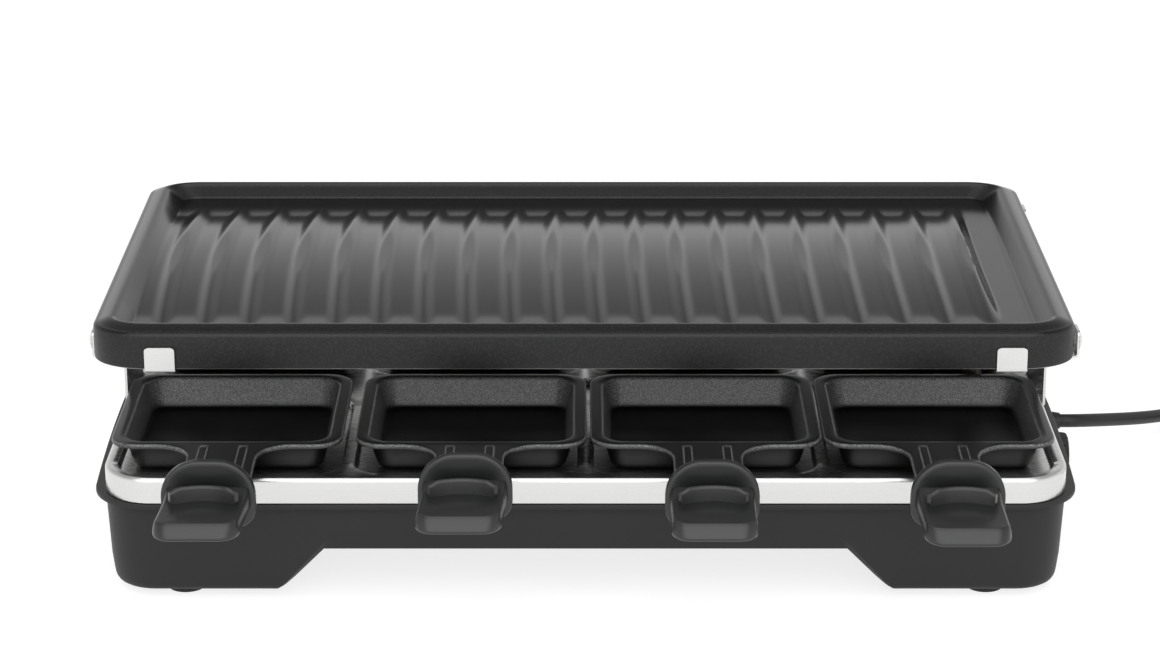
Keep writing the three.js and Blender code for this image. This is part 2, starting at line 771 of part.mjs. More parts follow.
function panHandle(lift) {
  const faceY = -panLength / 2 - handle.reach;
  const half = handle.guardWidth / 2;
  const guardShape = outline([
    [-half, handle.guardFoot, handle.guardFootRadius], [half, handle.guardFoot, handle.guardFootRadius],
    [half, handle.guardTop, handle.guardTopRadius], [-half, handle.guardTop, handle.guardTopRadius],
  ]);
  const bevel = handle.guardBevel;
  const guard = new THREE.ExtrudeGeometry(guardShape, {
    depth: handle.guardThickness - 2 * bevel, bevelThickness: bevel, bevelSize: bevel, bevelOffset: -bevel,
    bevelSegments: 1, curveSegments: arcSteps,
  });
  guard.rotateX(Math.PI / 2);
  guard.translate(0, faceY + handle.guardThickness / 2 - bevel, 0);
  const tabHalf = handle.tabWidth / 2;
  const rootY = faceY + handle.tabRoot;
  const noseY = faceY - handle.tabLength;
  const plan = alongZ(outline([
    [-tabHalf, noseY, handle.tabCorner], [tabHalf, noseY, handle.tabCorner],
    [tabHalf, rootY], [-tabHalf, rootY],
  ]), 0, 2 * pan.height, arcSteps);
  const top = handle.tabTop;
  const low = top - handle.tabThickness;
  const side = new THREE.Shape();
  side.moveTo(rootY, low);
  side.lineTo(rootY, top + handle.tabRise);
  side.quadraticCurveTo(faceY - handle.sagAt, top + handle.tabSag, noseY + handle.tabNose, top);
  side.quadraticCurveTo(noseY, top, noseY, top - handle.tabNose);
  side.lineTo(noseY, low + handle.tabNose);
  side.quadraticCurveTo(noseY, low, noseY + handle.tabNose, low);
  side.closePath();
  const across = toSolid(alongX(side, -tabHalf - overrun, tabHalf + overrun, arcSteps));
  const tab = toSolid(plan).intersect(across);
  const ridgeY = faceY - handle.ridgeSetback;
  const ridgePlan = new THREE.Shape();
  const outerBow = handle.ridgeBow + handle.ridgeWidth;
  ridgePlan.moveTo(-handle.ridgeHalf, ridgeY - outerBow);
  ridgePlan.quadraticCurveTo(0, ridgeY + handle.ridgeBow, handle.ridgeHalf, ridgeY - outerBow);
  ridgePlan.lineTo(handle.ridgeHalf, ridgeY - handle.ridgeBow);
  const backBow = outerBow + handle.ridgeWidth;
  ridgePlan.quadraticCurveTo(0, ridgeY + backBow, -handle.ridgeHalf, ridgeY - handle.ridgeBow);
  ridgePlan.closePath();
  const ridge = alongZ(ridgePlan, low + handle.tabNose, top + handle.ridgeHeight, arcSteps);
  const whole = toSolid(guard).add(tab).add(toSolid(ridge)).translate(0, 0, lift);
  return toGeometry(whole.subtract(tongue(fit, lift)));
}

// Carriers

function carrierPiece() {
  const strapX1 = plateWidth / 2 - carrier.strapInset;
  const strapX0 = strapX1 - carrier.strapWidth;
  const faceY = plateDepth / 2 + carrier.plateGap;
  const outerY = faceY + carrier.sheet;
  const lugX = plateWidth / 2 + carrier.endGap;
  const lugOuter = lugX + carrier.sheet;
  const lugY1 = plateDepth / 2 - carrier.lugInset;
  const lugY0 = lugY1 - carrier.lugLength;
  const under = carrierTop - carrier.sheet;
  const top = box(strapX0, panelOuter, -carrier.panelHalf, carrier.panelHalf, under, carrierTop);
  const panelHalf = carrier.panelHalf;
  const panel = box(panelInner, panelOuter, -panelHalf, panelHalf, carrierBottom, carrierTop);
  const footX = panelOuter - carrier.footLength;
  const footPlate = box(
    footX, panelOuter, -carrier.footHalf, carrier.footHalf, carrierBottom, carrierBottom + carrier.sheet,
  );
  const strap = box(strapX0, strapX1, -outerY, outerY, under, carrierTop);
  const pieces = [panel, footPlate, strap];
  for (const s of [-1, 1]) {
    const tabShape = outline([
      [strapX0, under], [strapX1, under],
      [strapX1, under + carrier.tabHeight, carrier.tabRadius],
      [strapX0, under + carrier.tabHeight, carrier.tabRadius],
    ]);
    pieces.push(s < 0 ? alongY(tabShape, -outerY, -faceY) : alongY(tabShape, faceY, outerY));
    const y0 = s < 0 ? -lugY1 : lugY0;
    const y1 = s < 0 ? -lugY0 : lugY1;
    pieces.push(box(strapX0, lugOuter, y0, y1, under, carrierTop));
    const lugShape = outline([
      [y0, under], [y1, under],
      [y1, under + carrier.lugHeight, carrier.tabRadius], [y0, under + carrier.lugHeight, carrier.tabRadius],
    ]);
    pieces.push(alongX(lugShape, lugX, lugOuter));
    const earShape = new THREE.Shape();
    const earZ = under + carrier.lugHeight - carrier.earRadius;
    earShape.moveTo(lugX, earZ - carrier.earRadius);
    earShape.lineTo(lugOuter, earZ - carrier.earRadius);
    earShape.absellipse(
      lugOuter, earZ, carrier.earReach - carrier.endGap, carrier.earRadius, -quarterTurn, quarterTurn, false,
    );
    earShape.lineTo(lugX, earZ + carrier.earRadius);
    earShape.closePath();
    const earY = s < 0 ? -lugY1 : lugY1 - carrier.sheet;
    pieces.push(alongY(earShape, earY, earY + carrier.sheet, arcSteps));
  }
  const solid = cut(join(top, ...pieces), screwHole(screwX(), carrier.screwHole));
  return toGeometry(solid);
}

// Element and the shelves that it lies on

function heatingElement() {
  const z = elementZ;
  const bottom = baseFloor + base.standHeight + fit + block.height + fit;
  const v = (x, y, height = z) => new THREE.Vector3(x, y, height);
  const corners = [
    v(elementRightX, -element.legY, bottom),
    v(elementRightX, -element.legY),
    v(elementRightX, -element.outerY),
    v(elementLeftX, -element.outerY),
    v(elementLeftX, -element.innerY),
    v(elementInnerX, -element.innerY),
    v(elementInnerX, element.innerY),
    v(elementLeftX, element.innerY),
    v(elementLeftX, element.outerY),
    v(elementRightX, element.outerY),
    v(elementRightX, element.legY),
    v(elementRightX, element.legY, bottom),
  ];
  const turn = element.turnRadius;
  const leg = element.legRadius;
  const radii = [leg, turn, turn, turn, turn, turn, turn, turn, turn, leg];
  return tube(bentLine(corners, radii), element.radius, cordSides);
}

function elementShelf(notched) {
  const x1 = panelInner - fit;
  const x0 = x1 - shelf.reach;
  const under = shelfTop - shelf.sheet;
  const r = shelf.cornerRadius;
  const points = notched
    ? [[x0, -shelf.half, r], [x1, -shelf.half], [x1, shelf.half], [x0, shelf.half, r],
      [x0, shelf.notchHalf, r], [x1 - shelf.legHeight, shelf.notchHalf, r],
      [x1 - shelf.legHeight, -shelf.notchHalf, r], [x0, -shelf.notchHalf, r]]
    : [[x0, -shelf.half, r], [x1, -shelf.half], [x1, shelf.half], [x0, shelf.half, r]];
  const plan = alongZ(outline(points), under, shelfTop);
  const legs = box(x1 - shelf.sheet, x1, -shelf.half, shelf.half, under, shelfTop + shelf.legHeight);
  return toGeometry(join(plan, legs));
}

// Screws

function panHeadScrew(shankRadius, seatZ) {
  return revolved([
    [0, seatZ - screw.shankLength], [shankRadius, seatZ - screw.shankLength], [shankRadius, seatZ],
    [screw.headRadius, seatZ], [screw.headRadius, seatZ + screw.rimHeight],
    [screw.crownRadius, seatZ + screw.headHeight], [0, seatZ + screw.headHeight],
  ]);
}

// Thermostat, shaft and knob, drawn along X

const wallAtControl = wallTopHalf - base.draft * (1 - control.axisZ / (base.height - base.lipThickness));
const controlInner = wallAtControl - base.wall;

// Where a round collar of this radius touches the inside of the sloping end wall
function innerSeat(radius) {
  return controlInner - fit - radius * base.draft / base.height;
}

function acrossX(geometry) {
  return geometry.rotateY(Math.PI / 2);
}

function thermostatBody() {
  const x1 = controlInner - control.wallGap;
  const x0 = x1 - control.bodyLength;
  const halfW = control.bodyWidth / 2;
  const halfH = control.bodyHeight / 2;
  const e = control.bodyEdge;
  const body = alongX(outline([
    [-halfW, -halfH, e], [halfW, -halfH, e], [halfW, halfH, e], [-halfW, halfH, e],
  ]), x0, x1);
  const collar = rod(alongX, control.collarRadius, x0 + e, innerSeat(control.collarRadius));
  const bush = rod(alongX, control.bushRadius, x0 + e, wallAtControl + control.bushReach);
  const boreFrom = x1 - control.shaftInBody - fit;
  const bore = rod(alongX, control.shaftRadius + fit, boreFrom, x1 + control.bodyLength);
  return toGeometry(cut(join(body, collar, bush), bore));
}

function knobShaft() {
  const x0 = controlInner - control.wallGap - control.shaftInBody;
  const x1 = wallAtControl + control.knobGap + control.shaftInKnob;
  return rod(alongX, control.shaftRadius, x0, x1);
}

function temperatureKnob() {
  const x0 = wallAtControl + control.knobGap;
  const x1 = x0 + control.knobLength;
  const shape = new THREE.Shape();
  const steps = knobFluteCount * 2;
  for (let i = 0; i < steps; i += 1) {
    const angle = 2 * Math.PI * i / steps;
    const radius = control.knobRadius - control.knobFaceEdge - (i % 2) * control.knobFlute;
    shape[i === 0 ? 'moveTo' : 'lineTo'](radius * Math.cos(angle), radius * Math.sin(angle));
  }
  shape.closePath();
  const edge = control.knobFaceEdge;
  const grip = new THREE.ExtrudeGeometry(shape, {
    depth: control.knobLength - 2 * edge, bevelThickness: edge, bevelSize: edge, bevelSegments: 1,
  });
  grip.rotateX(Math.PI / 2);
  grip.rotateZ(Math.PI / 2);
  grip.translate(x0 + edge, 0, 0);
  const bore = rod(alongX, control.shaftRadius + fit, x0 - overrun, x0 + control.shaftInKnob + fit);
  const half = control.markWidth / 2;
  const markTop = control.knobRadius + overrun;
  const mark = box(x1 - control.markDepth, x1 + overrun, -half, half, control.markInset, markTop);
  return toGeometry(cut(toSolid(grip), bore, mark));
}

function terminalBlock() {
  const z0 = baseFloor + base.standHeight + fit;
  const half = block.width / 2;
  const e = block.edge;
  const x = elementRightX;
  const body = alongX(outline([
    [-half, z0], [half, z0], [half, z0 + block.height, e], [-half, z0 + block.height, e],
  ]), x - block.length / 2, x + block.length / 2);
  const grooves = [-element.legY, 0, element.legY].map((y) => moved(
    rod(alongX, wire.radius + fit, x - block.length, x + block.length), 0, y, z0 + block.height / 2,
  ));
  return toGeometry(cut(toSolid(body), ...grooves));
}

// Wires from the lead's inner end to the thermostat and the terminal block

function wireRoutes() {
  const leadX = innerSeat(relief.collarRadius) - relief.collar - fit;
  const leadZ = baseBottom + relief.z;
  const nearY = relief.y - wire.spread / 2;
  const farY = relief.y + wire.spread / 2;
  const controlX = controlInner - control.wallGap - control.bodyLength / 2;
  const controlY = control.bodyWidth / 2 + fit;
  const blockX = elementRightX;
  const blockZ = baseFloor + base.standHeight + fit + block.height / 2;
  const turnX = blockX - block.length / 2 - wire.loop;
  const v = (x, y, z) => new THREE.Vector3(x, y, z);
  return {
    wire_supply: [v(leadX, nearY, leadZ), v(controlX, nearY, leadZ), v(controlX, controlY, leadZ)],
    wire_switched: [
      v(controlX, -controlY, leadZ), v(controlX, -controlY - wire.loop, leadZ),
      v(turnX, -controlY - wire.loop, leadZ), v(turnX, -element.legY, blockZ),
      v(blockX, -element.legY, blockZ),
    ],
    wire_neutral: [
      v(leadX, farY, leadZ - wire.spread / 2), v(turnX, farY, leadZ - wire.spread / 2),
      v(turnX, element.legY, blockZ), v(blockX, element.legY, blockZ),
    ],
    wire_earth: [
      v(leadX, farY, leadZ + wire.spread / 2), v(turnX - wire.spread, farY, leadZ + wire.spread / 2),
      v(turnX - wire.spread, 0, blockZ), v(blockX, 0, blockZ),
    ],
  };
}

function innerWire(corners) {
  const radii = corners.slice(2).map(() => wire.bend);
  return tube(bentLine(corners, radii), wire.radius, coilSides);
}

// Mains lead

function cordRelief() {
  const x0 = innerSeat(relief.collarRadius);
  return acrossX(revolved([
    [0, x0 - relief.collar], [relief.collarRadius, x0 - relief.collar], [relief.collarRadius, x0],
    [relief.rootRadius, x0], [relief.rootRadius, wallAtControl],
    [relief.tipRadius, wallAtControl + relief.length], [0, wallAtControl + relief.length],
  ]));
}

// The coil's centre line: two layers that spiral in, climb where they turn, and spiral out again
function coilPoint(loops) {
  const middle = coilLoops / 2;
  const radius = coil.outerRadius - coil.pitch * (middle - Math.abs(loops - middle));
  const climb = THREE.MathUtils.smoothstep(loops, middle - climbLoops / 2, middle + climbLoops / 2);
  const angle = THREE.MathUtils.degToRad(coil.startDeg) - 2 * Math.PI * loops;
  const x = base.width / 2 + coil.clear + radius * Math.cos(angle);
  const y = coil.y + radius * Math.sin(angle);
  return new THREE.Vector3(x, y, cordRadius + coil.layerRise * climb);
}

function coilStations() {
  const steps = Math.round(coilLoops * loopSteps);
  const stations = [];
  for (let i = 0; i <= steps; i += 1) {
    stations.push(coilPoint(coilLoops * i / steps));
  }
  const angleStart = THREE.MathUtils.degToRad(coil.startDeg);
  const angleEnd = angleStart - 2 * Math.PI * coilLoops;
  const along = (angle) => new THREE.Vector3(Math.sin(angle), -Math.cos(angle), 0);
  const diameter = 2 * cordRadius;
  stations.unshift(stations[0].clone().addScaledVector(along(angleStart), -diameter));
  stations.push(stations[stations.length - 1].clone().addScaledVector(along(angleEnd), diameter));
  return { stations, startWay: along(angleStart), endWay: along(angleEnd) };
}

// Smallest gap between the coil's own loops, measured point to point
const sampleShares = [0, 0.25, 0.5, 0.75];
function coilLeastGap(stations) {
  const fine = [];
  for (let i = 0; i + 1 < stations.length; i += 1) {
    for (const share of sampleShares) {
      fine.push(stations[i].clone().lerp(stations[i + 1], share));
    }
  }
  const apart = loopSteps * sampleShares.length / 2;
  let least = Infinity;
  for (let i = 0; i < fine.length; i += 1) {
    for (let j = i + apart; j < fine.length; j += 1) {
      least = Math.min(least, fine[i].distanceTo(fine[j]));
    }
  }
  return least - 2 * cordRadius;
}

// The lead's route over the table, chosen by hand; X counts from the base's right end
const leadPoints = [[71, 86, 13], [96, 114, 6], [113, 133, 3.8]];
const tailPoints = [[217, 84, 12], [217, 66, 15.5]];
const plugFaceY = 40;

function freeTube(from, fromWay, middle, to, toWay) {
  const straight = 2 * cordRadius;
  const knots = [
    from, from.clone().addScaledVector(fromWay, straight),
    ...middle.map(([x, y, z]) => new THREE.Vector3(base.width / 2 + x, y, z)),
    to.clone().addScaledVector(toWay, -straight), to,
  ];
  const curve = new THREE.CatmullRomCurve3(knots.slice(1, -1), false, 'centripetal');
  const count = Math.ceil(curve.getLength() / cordStep);
  return tube([from, ...curve.getSpacedPoints(count), to], cordRadius, cordSides);
}

function cordLead(coilInfo) {
  const tipX = wallAtControl + relief.length;
  const from = new THREE.Vector3(tipX + fit, relief.y, baseBottom + relief.z);
  const to = coilInfo.stations[0].clone().addScaledVector(coilInfo.startWay, -fit);
  return freeTube(from, new THREE.Vector3(1, 0, 0), leadPoints, to, coilInfo.startWay);
}

function cordTail(coilInfo) {
  const last = coilInfo.stations[coilInfo.stations.length - 1];
  const from = last.clone().addScaledVector(coilInfo.endWay, fit);
  const to = new THREE.Vector3(last.x, plugFaceY + fit, plug.bodyRadius);
  return freeTube(from, coilInfo.endWay, tailPoints, to, new THREE.Vector3(0, -1, 0));
}

// Plug, lying on its side with its pins towards -Y
function plugBody(x) {
  const edge = plug.faceEdge;
  const back = plug.neckLength;
  const face = back + plug.bodyLength;
  const body = revolved([
    [0, 0], [plug.neckTipRadius, 0], [plug.neckRadius, plug.neckRun],
    [plug.bodyRadius - edge, back], [plug.bodyRadius, back + edge],
    [plug.bodyRadius, face - edge], [plug.bodyRadius - edge, face], [0, face],
  ]);
  body.rotateX(Math.PI / 2);
  moved(body, x, plugFaceY, plug.bodyRadius);
  const holes = [-1, 1].map((s) => {
    const hole = rod(alongY, plug.pinRadius + fit, 0, plug.pinInset + fit + overrun);
    return moved(hole, x + s * plug.pinHalfSpacing, plugFaceY - face - overrun, plug.bodyRadius);
  });
  return toGeometry(cut(toSolid(body), ...holes));
}

function plugPin(x) {
  const face = plugFaceY - plug.neckLength - plug.bodyLength;
  const tip = plug.pinTip;
  const pin = revolved([
    [0, -plug.pinInset], [plug.pinRadius, -plug.pinInset], [plug.pinRadius, plug.pinLength - tip],
    [plug.pinRadius - tip, plug.pinLength], [0, plug.pinLength],
  ]);
  pin.rotateX(Math.PI / 2);
  return moved(pin, x, face, plug.bodyRadius);
}

// Materials

function finish(color, roughness, metalness) {
  return new THREE.MeshStandardMaterial({ color, roughness, metalness });
}

const castCoating = finish('#2b2c2e', 0.45, 0.1);
const panCoating = finish('#202122', 0.35, 0.1);
const blackPlastic = finish('#2a2b2c', 0.5, 0);
const handlePlastic = finish('#333436', 0.55, 0);
const brushedSteel = finish('#c9c9c7', 0.3, 1);
const elementSteel = finish('#5d5a56', 0.5, 0.9);
const rubber = finish('#111111', 0.8, 0);
const ceramic = finish('#d8d2c4', 0.7, 0);
const cordPlastic = finish('#161616', 0.45, 0);
const pinBrass = finish('#b9a37a', 0.3, 1);
const wireFinishes = {
  wire_supply: finish('#5b3a22', 0.4, 0),
  wire_switched: finish('#5b3a22', 0.4, 0),
  wire_neutral: finish('#2c5aa0', 0.4, 0),
  wire_earth: finish('#6f9a3a', 0.4, 0),
};

// Assembly

const group = new THREE.Group();

function add(parent, name, geometry, material, x = 0, y = 0, z = 0) {
  const mesh = new THREE.Mesh(geometry, material);
  mesh.name = name;
  mesh.position.set(x, y, z);
  parent.add(mesh);
  return mesh;
}

add(group, 'base_housing', baseHousing(), blackPlastic);
add(group, 'pan_tray', panTray(), brushedSteel);
const carrierRight = carrierPiece();
add(group, 'carrier_right', carrierRight, brushedSteel);
add(group, 'carrier_left', mirrored(carrierRight), brushedSteel);
const carrierSeat = carrierBottom + carrier.sheet + fit;
add(group, 'carrier_screw_right', panHeadScrew(screw.shankRadius, carrierSeat), brushedSteel, screwX());
add(group, 'carrier_screw_left', panHeadScrew(screw.shankRadius, carrierSeat), brushedSteel, -screwX());
add(group, 'tray_screw', panHeadScrew(screw.postShankRadius, trayTop + fit), brushedSteel);
add(group, 'heating_element', heatingElement(), elementSteel);
add(group, 'element_shelf_right', elementShelf(true), brushedSteel);
add(group, 'element_shelf_left', mirrored(elementShelf(false)), brushedSteel);
add(group, 'terminal_block', terminalBlock(), ceramic);
add(group, 'thermostat', thermostatBody(), blackPlastic, 0, 0, baseBottom + control.axisZ);
add(group, 'knob_shaft', knobShaft(), brushedSteel, 0, 0, baseBottom + control.axisZ);
add(group, 'temperature_knob', temperatureKnob(), blackPlastic, 0, 0, baseBottom + control.axisZ);
for (const [name, corners] of Object.entries(wireRoutes())) {
  add(group, name, innerWire(corners), wireFinishes[name]);
}
add(group, 'grill_plate', grillPlate(), castCoating, -plate.offset);

const footNames = ['foot_front_left', 'foot_front_right', 'foot_rear_right', 'foot_rear_left'];
footPlaces().forEach(([x, y], i) => add(group, footNames[i], rubberFoot(), rubber, x, y, 0));

const panGeometries = {};
const handleGeometries = {};
for (const lift of new Set([0, ...frontLifts])) {
  panGeometries[lift] = pressedPan(lift);
  handleGeometries[lift] = panHandle(lift);
}
panCentres().forEach(({ x, y, side, offset, lift }, i) => {
  const place = new THREE.Group();
  place.position.set(x + offset, y, panBottom);
  place.rotation.z = side < 0 ? 0 : Math.PI;
  const name = `${side < 0 ? 'front' : 'rear'}_${i % panCount + 1}`;
  add(place, `pan_${name}`, panGeometries[lift], panCoating);
  add(place, `handle_${name}`, handleGeometries[lift], handlePlastic);
  group.add(place);
});

const coilInfo = coilStations();
console.log(`coil least gap ${coilLeastGap(coilInfo.stations).toFixed(2)} mm`);
const plugX = coilInfo.stations[coilInfo.stations.length - 1].x;
add(group, 'cord_relief', cordRelief(), cordPlastic, 0, relief.y, baseBottom + relief.z);
add(group, 'cord_lead', cordLead(coilInfo), cordPlastic);
add(group, 'cord_coil', tube(coilInfo.stations, cordRadius, coilSides), cordPlastic);
add(group, 'cord_tail', cordTail(coilInfo), cordPlastic);
add(group, 'plug_body', plugBody(plugX), cordPlastic);
add(group, 'plug_pin_left', plugPin(plugX - plug.pinHalfSpacing), pinBrass);
add(group, 'plug_pin_right', plugPin(plugX + plug.pinHalfSpacing), pinBrass);

// The origin lies under the middle of the grill without its lead
const lipHalf = base.width / 2 + base.lipCornerWidth + base.lipBow;
const knobEnd = wallAtControl + control.knobGap + control.knobLength;
const reliefEnd = wallAtControl + relief.length;
group.position.x = -(Math.max(knobEnd, reliefEnd) - lipHalf) / 2;

export default group;
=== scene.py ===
"""A table raclette grill for eight people, dressed for a product picture on white."""
import json
import math

import bmesh
import bpy
import numpy as np
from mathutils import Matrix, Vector


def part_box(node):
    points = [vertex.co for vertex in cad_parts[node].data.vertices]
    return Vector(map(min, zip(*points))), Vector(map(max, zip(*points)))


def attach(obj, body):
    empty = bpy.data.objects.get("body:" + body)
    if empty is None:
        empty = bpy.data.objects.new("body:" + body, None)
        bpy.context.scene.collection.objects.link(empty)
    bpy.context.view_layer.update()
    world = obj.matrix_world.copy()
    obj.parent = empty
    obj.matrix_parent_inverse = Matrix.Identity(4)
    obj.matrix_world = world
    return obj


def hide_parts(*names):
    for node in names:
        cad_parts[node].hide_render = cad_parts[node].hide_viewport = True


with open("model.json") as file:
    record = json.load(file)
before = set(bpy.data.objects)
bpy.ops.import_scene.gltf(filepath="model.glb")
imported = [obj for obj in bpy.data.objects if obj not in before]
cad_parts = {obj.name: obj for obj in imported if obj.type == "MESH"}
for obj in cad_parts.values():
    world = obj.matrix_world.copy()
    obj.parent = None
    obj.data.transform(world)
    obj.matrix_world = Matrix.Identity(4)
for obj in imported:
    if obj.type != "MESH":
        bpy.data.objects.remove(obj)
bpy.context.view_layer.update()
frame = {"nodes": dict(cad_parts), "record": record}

MM = 0.001
nodes = frame["nodes"]
LOW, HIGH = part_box("pan_tray")
MIDDLE = (LOW.x + HIGH.x) / 2 / MM


def linear(hex_colour):
    """An sRGB hex colour as linear light."""
    channels = [int(hex_colour[i:i + 2], 16) / 255 for i in (1, 3, 5)]
    return [c / 12.92 if c <= 0.04045 else ((c + 0.055) / 1.055) ** 2.4 for c in channels] + [1.0]


def smoothstep(t):
    """3 t squared less 2 t cubed, between 0 and 1."""
    t = np.clip(t, 0, 1)
    return t * t * (3 - 2 * t)


def placed(name, data):
    """A new object with this data, in the scene."""
    obj = bpy.data.objects.new(name, data)
    bpy.context.scene.collection.objects.link(obj)
    return obj


# Camera: square on to the long side, its place in millimetres from the middle of the tray

CAMERA_LENS = 101.35
CAMERA_DOWN = 18.86
CAMERA_PLACE = (-2.7, -1555.11, 625.66)

camera_data = bpy.data.cameras.new("camera")
camera_data.sensor_width = 36
camera_data.sensor_fit = "HORIZONTAL"
camera_data.lens = CAMERA_LENS
camera_data.clip_end = 20
camera = placed("camera", camera_data)
camera.location = ((MIDDLE + CAMERA_PLACE[0]) * MM, CAMERA_PLACE[1] * MM, CAMERA_PLACE[2] * MM)
camera.rotation_euler = (math.radians(90 - CAMERA_DOWN), 0, 0)
bpy.context.scene.camera = camera
bpy.context.scene.view_settings.view_transform = "Standard"


# Mains lead: the route over the table, in millimetres from the middle of the tray

CORD_RADIUS = 3.5
CORD_STRAIGHT = 7
CORD_STEP = 4
RELIEF_TIP = (248.57, 49, 25)
COIL_CENTRE = (395, 115)
COIL_START, COIL_LOOPS, COIL_POINTS = 135, 6.375, 48
COIL_RADIUS, COIL_TURN, COIL_LAYER = 51, 8, 8
PLUG_Y, PLUG_Z = 40, 17.5


def coil_angle(loops):
    """Clockwise from the coil's start, in radians."""
    return math.radians(COIL_START) - 2 * math.pi * loops


def coil_point(loops):
    """Centre line of the coil: its radius shrinks by the same amount each turn up to the middle turn and then
    grows again, and at the middle the cord climbs one layer."""
    middle = COIL_LOOPS / 2
    radius = COIL_RADIUS - COIL_TURN * (middle - np.abs(loops - middle))
    climb = smoothstep((loops - middle + 0.25) / 0.5)
    x = COIL_CENTRE[0] + radius * np.cos(coil_angle(loops))
    y = COIL_CENTRE[1] + radius * np.sin(coil_angle(loops))
    return np.stack([x, y, CORD_RADIUS + COIL_LAYER * climb], axis=-1)


def coil_way(loops):
    """The direction in which the cord runs at this point of the coil: square to the radius."""
    return np.array([math.sin(coil_angle(loops)), -math.cos(coil_angle(loops)), 0])


def smooth_through(knots, step):
    """Centripetal Catmull-Rom curve through the knots, sampled about every step millimetres; the ends are
    mirrored."""
    knots = np.array(knots, float)
    knots = np.vstack([2 * knots[0] - knots[1], knots, 2 * knots[-1] - knots[-2]])
    found = []
    for a, b, c, d in zip(knots, knots[1:], knots[2:], knots[3:]):
        t1 = np.sqrt(np.linalg.norm(b - a))
        t2 = t1 + np.sqrt(np.linalg.norm(c - b))
        t3 = t2 + np.sqrt(np.linalg.norm(d - c))
        t = np.linspace(t1, t2, max(2, int(np.linalg.norm(c - b) / step)), endpoint=False)[:, None]
        a1 = (t1 - t) / t1 * a + t / t1 * b
        a2 = (t2 - t) / (t2 - t1) * b + (t - t1) / (t2 - t1) * c
        a3 = (t3 - t) / (t3 - t2) * c + (t - t2) / (t3 - t2) * d
        b1 = (t2 - t) / t2 * a1 + t / t2 * a2
        b2 = (t3 - t) / (t3 - t1) * a2 + (t - t1) / (t3 - t1) * a3
        found.append((t2 - t) / (t2 - t1) * b1 + (t - t1) / (t2 - t1) * b2)
    return np.vstack([*found, knots[-2][None]])


def cord_route():
    """From the relief's tip over the table into the coil, round it and off its outside to the plug's neck."""
    turns = coil_point(np.linspace(0, COIL_LOOPS, int(COIL_LOOPS * COIL_POINTS)))
    first_way, last_way = coil_way(0), coil_way(COIL_LOOPS)
    start = turns[0] - CORD_STRAIGHT * first_way
    end = turns[-1] + CORD_STRAIGHT * last_way
    tip = np.array(RELIEF_TIP)
    lead = smooth_through([tip, tip + [CORD_STRAIGHT, 0, 0], [300, 86, 13], [325, 114, 6], [342, 133, 3.8],
                           start - CORD_STRAIGHT * first_way, start], CORD_STEP)
    tail = smooth_through([end, end + CORD_STRAIGHT * last_way, [446, 84, 12], [446, 66, 15.5],
                           [end[0], 47, PLUG_Z], [end[0], PLUG_Y, PLUG_Z]], CORD_STEP)
    return np.vstack([lead[:-1], turns, tail[1:]])


route = cord_route() + [MIDDLE, 0, 0]
curve = bpy.data.curves.new("mains_cord", "CURVE")
curve.dimensions = "3D"
curve.bevel_depth = CORD_RADIUS * MM
curve.bevel_resolution = 5
curve.use_fill_caps = True
spline = curve.splines.new("POLY")
spline.points.add(len(route) - 1)
spline.points.foreach_set("co", np.hstack([route * MM, np.ones((len(route), 1))]).ravel())
mains_cord = placed("mains_cord", curve)


# Materials

def add(tree, kind, settings=None, links=None):
    """Adds a node, with its own values and sockets set by name or number, and the sockets that feed it. A mix
    has its share on socket 0 and its colours on 6 and 7."""
    new = tree.nodes.new(kind)
    for key, value in (settings or {}).items():
        if isinstance(key, str) and hasattr(new, key):
            setattr(new, key, value)
        else:
            new.inputs[key].default_value = value
    for key, source in (links or {}).items():
        tree.links.new(source, new.inputs[key])
    return new


def mapped(tree, value, read, given=(0.0, 1.0)):
    """The value carried from the range read to the range given, and held at that range's ends."""
    ends = {1: read[0], 2: read[1], 3: given[0], 4: given[1]}
    return add(tree, "ShaderNodeMapRange", ends, {"Value": value}).outputs["Result"]


def emptied(owner):
    """The node tree of a material or a world, with nothing in it."""
    owner.use_nodes = True
    owner.node_tree.nodes.clear()
    return owner.node_tree


def new_material(name, settings):
    """An empty material with one principled shader, whose constant values stay on its own sockets."""
    material = bpy.data.materials.new(name)
    tree = emptied(material)
    shader = add(tree, "ShaderNodeBsdfPrincipled", settings)
    add(tree, "ShaderNodeOutputMaterial", links={"Surface": shader.outputs["BSDF"]})
    place = add(tree, "ShaderNodeTexCoord")
    return material, tree, shader, place.outputs["Object"]


def grain(tree, place, shader, grain_mm, height_mm, gloss=None, spread=0.0):
    """Bump of a grain of this size and height, and where gloss is given a roughness that varies by spread."""
    noise = add(tree, "ShaderNodeTexNoise", {"Scale": 1 / (grain_mm * MM), "Detail": 2.0}, {"Vector": place})
    bump = add(tree, "ShaderNodeBump", {"Distance": height_mm * MM, "Strength": 1.0},
               {"Height": noise.outputs["Fac"]})
    tree.links.new(bump.outputs["Normal"], shader.inputs["Normal"])
    if gloss is not None:
        vary = mapped(tree, noise.outputs["Fac"], (0.3, 0.7), (gloss - spread, gloss + spread))
        tree.links.new(vary, shader.inputs["Roughness"])
    return noise.outputs["Fac"]


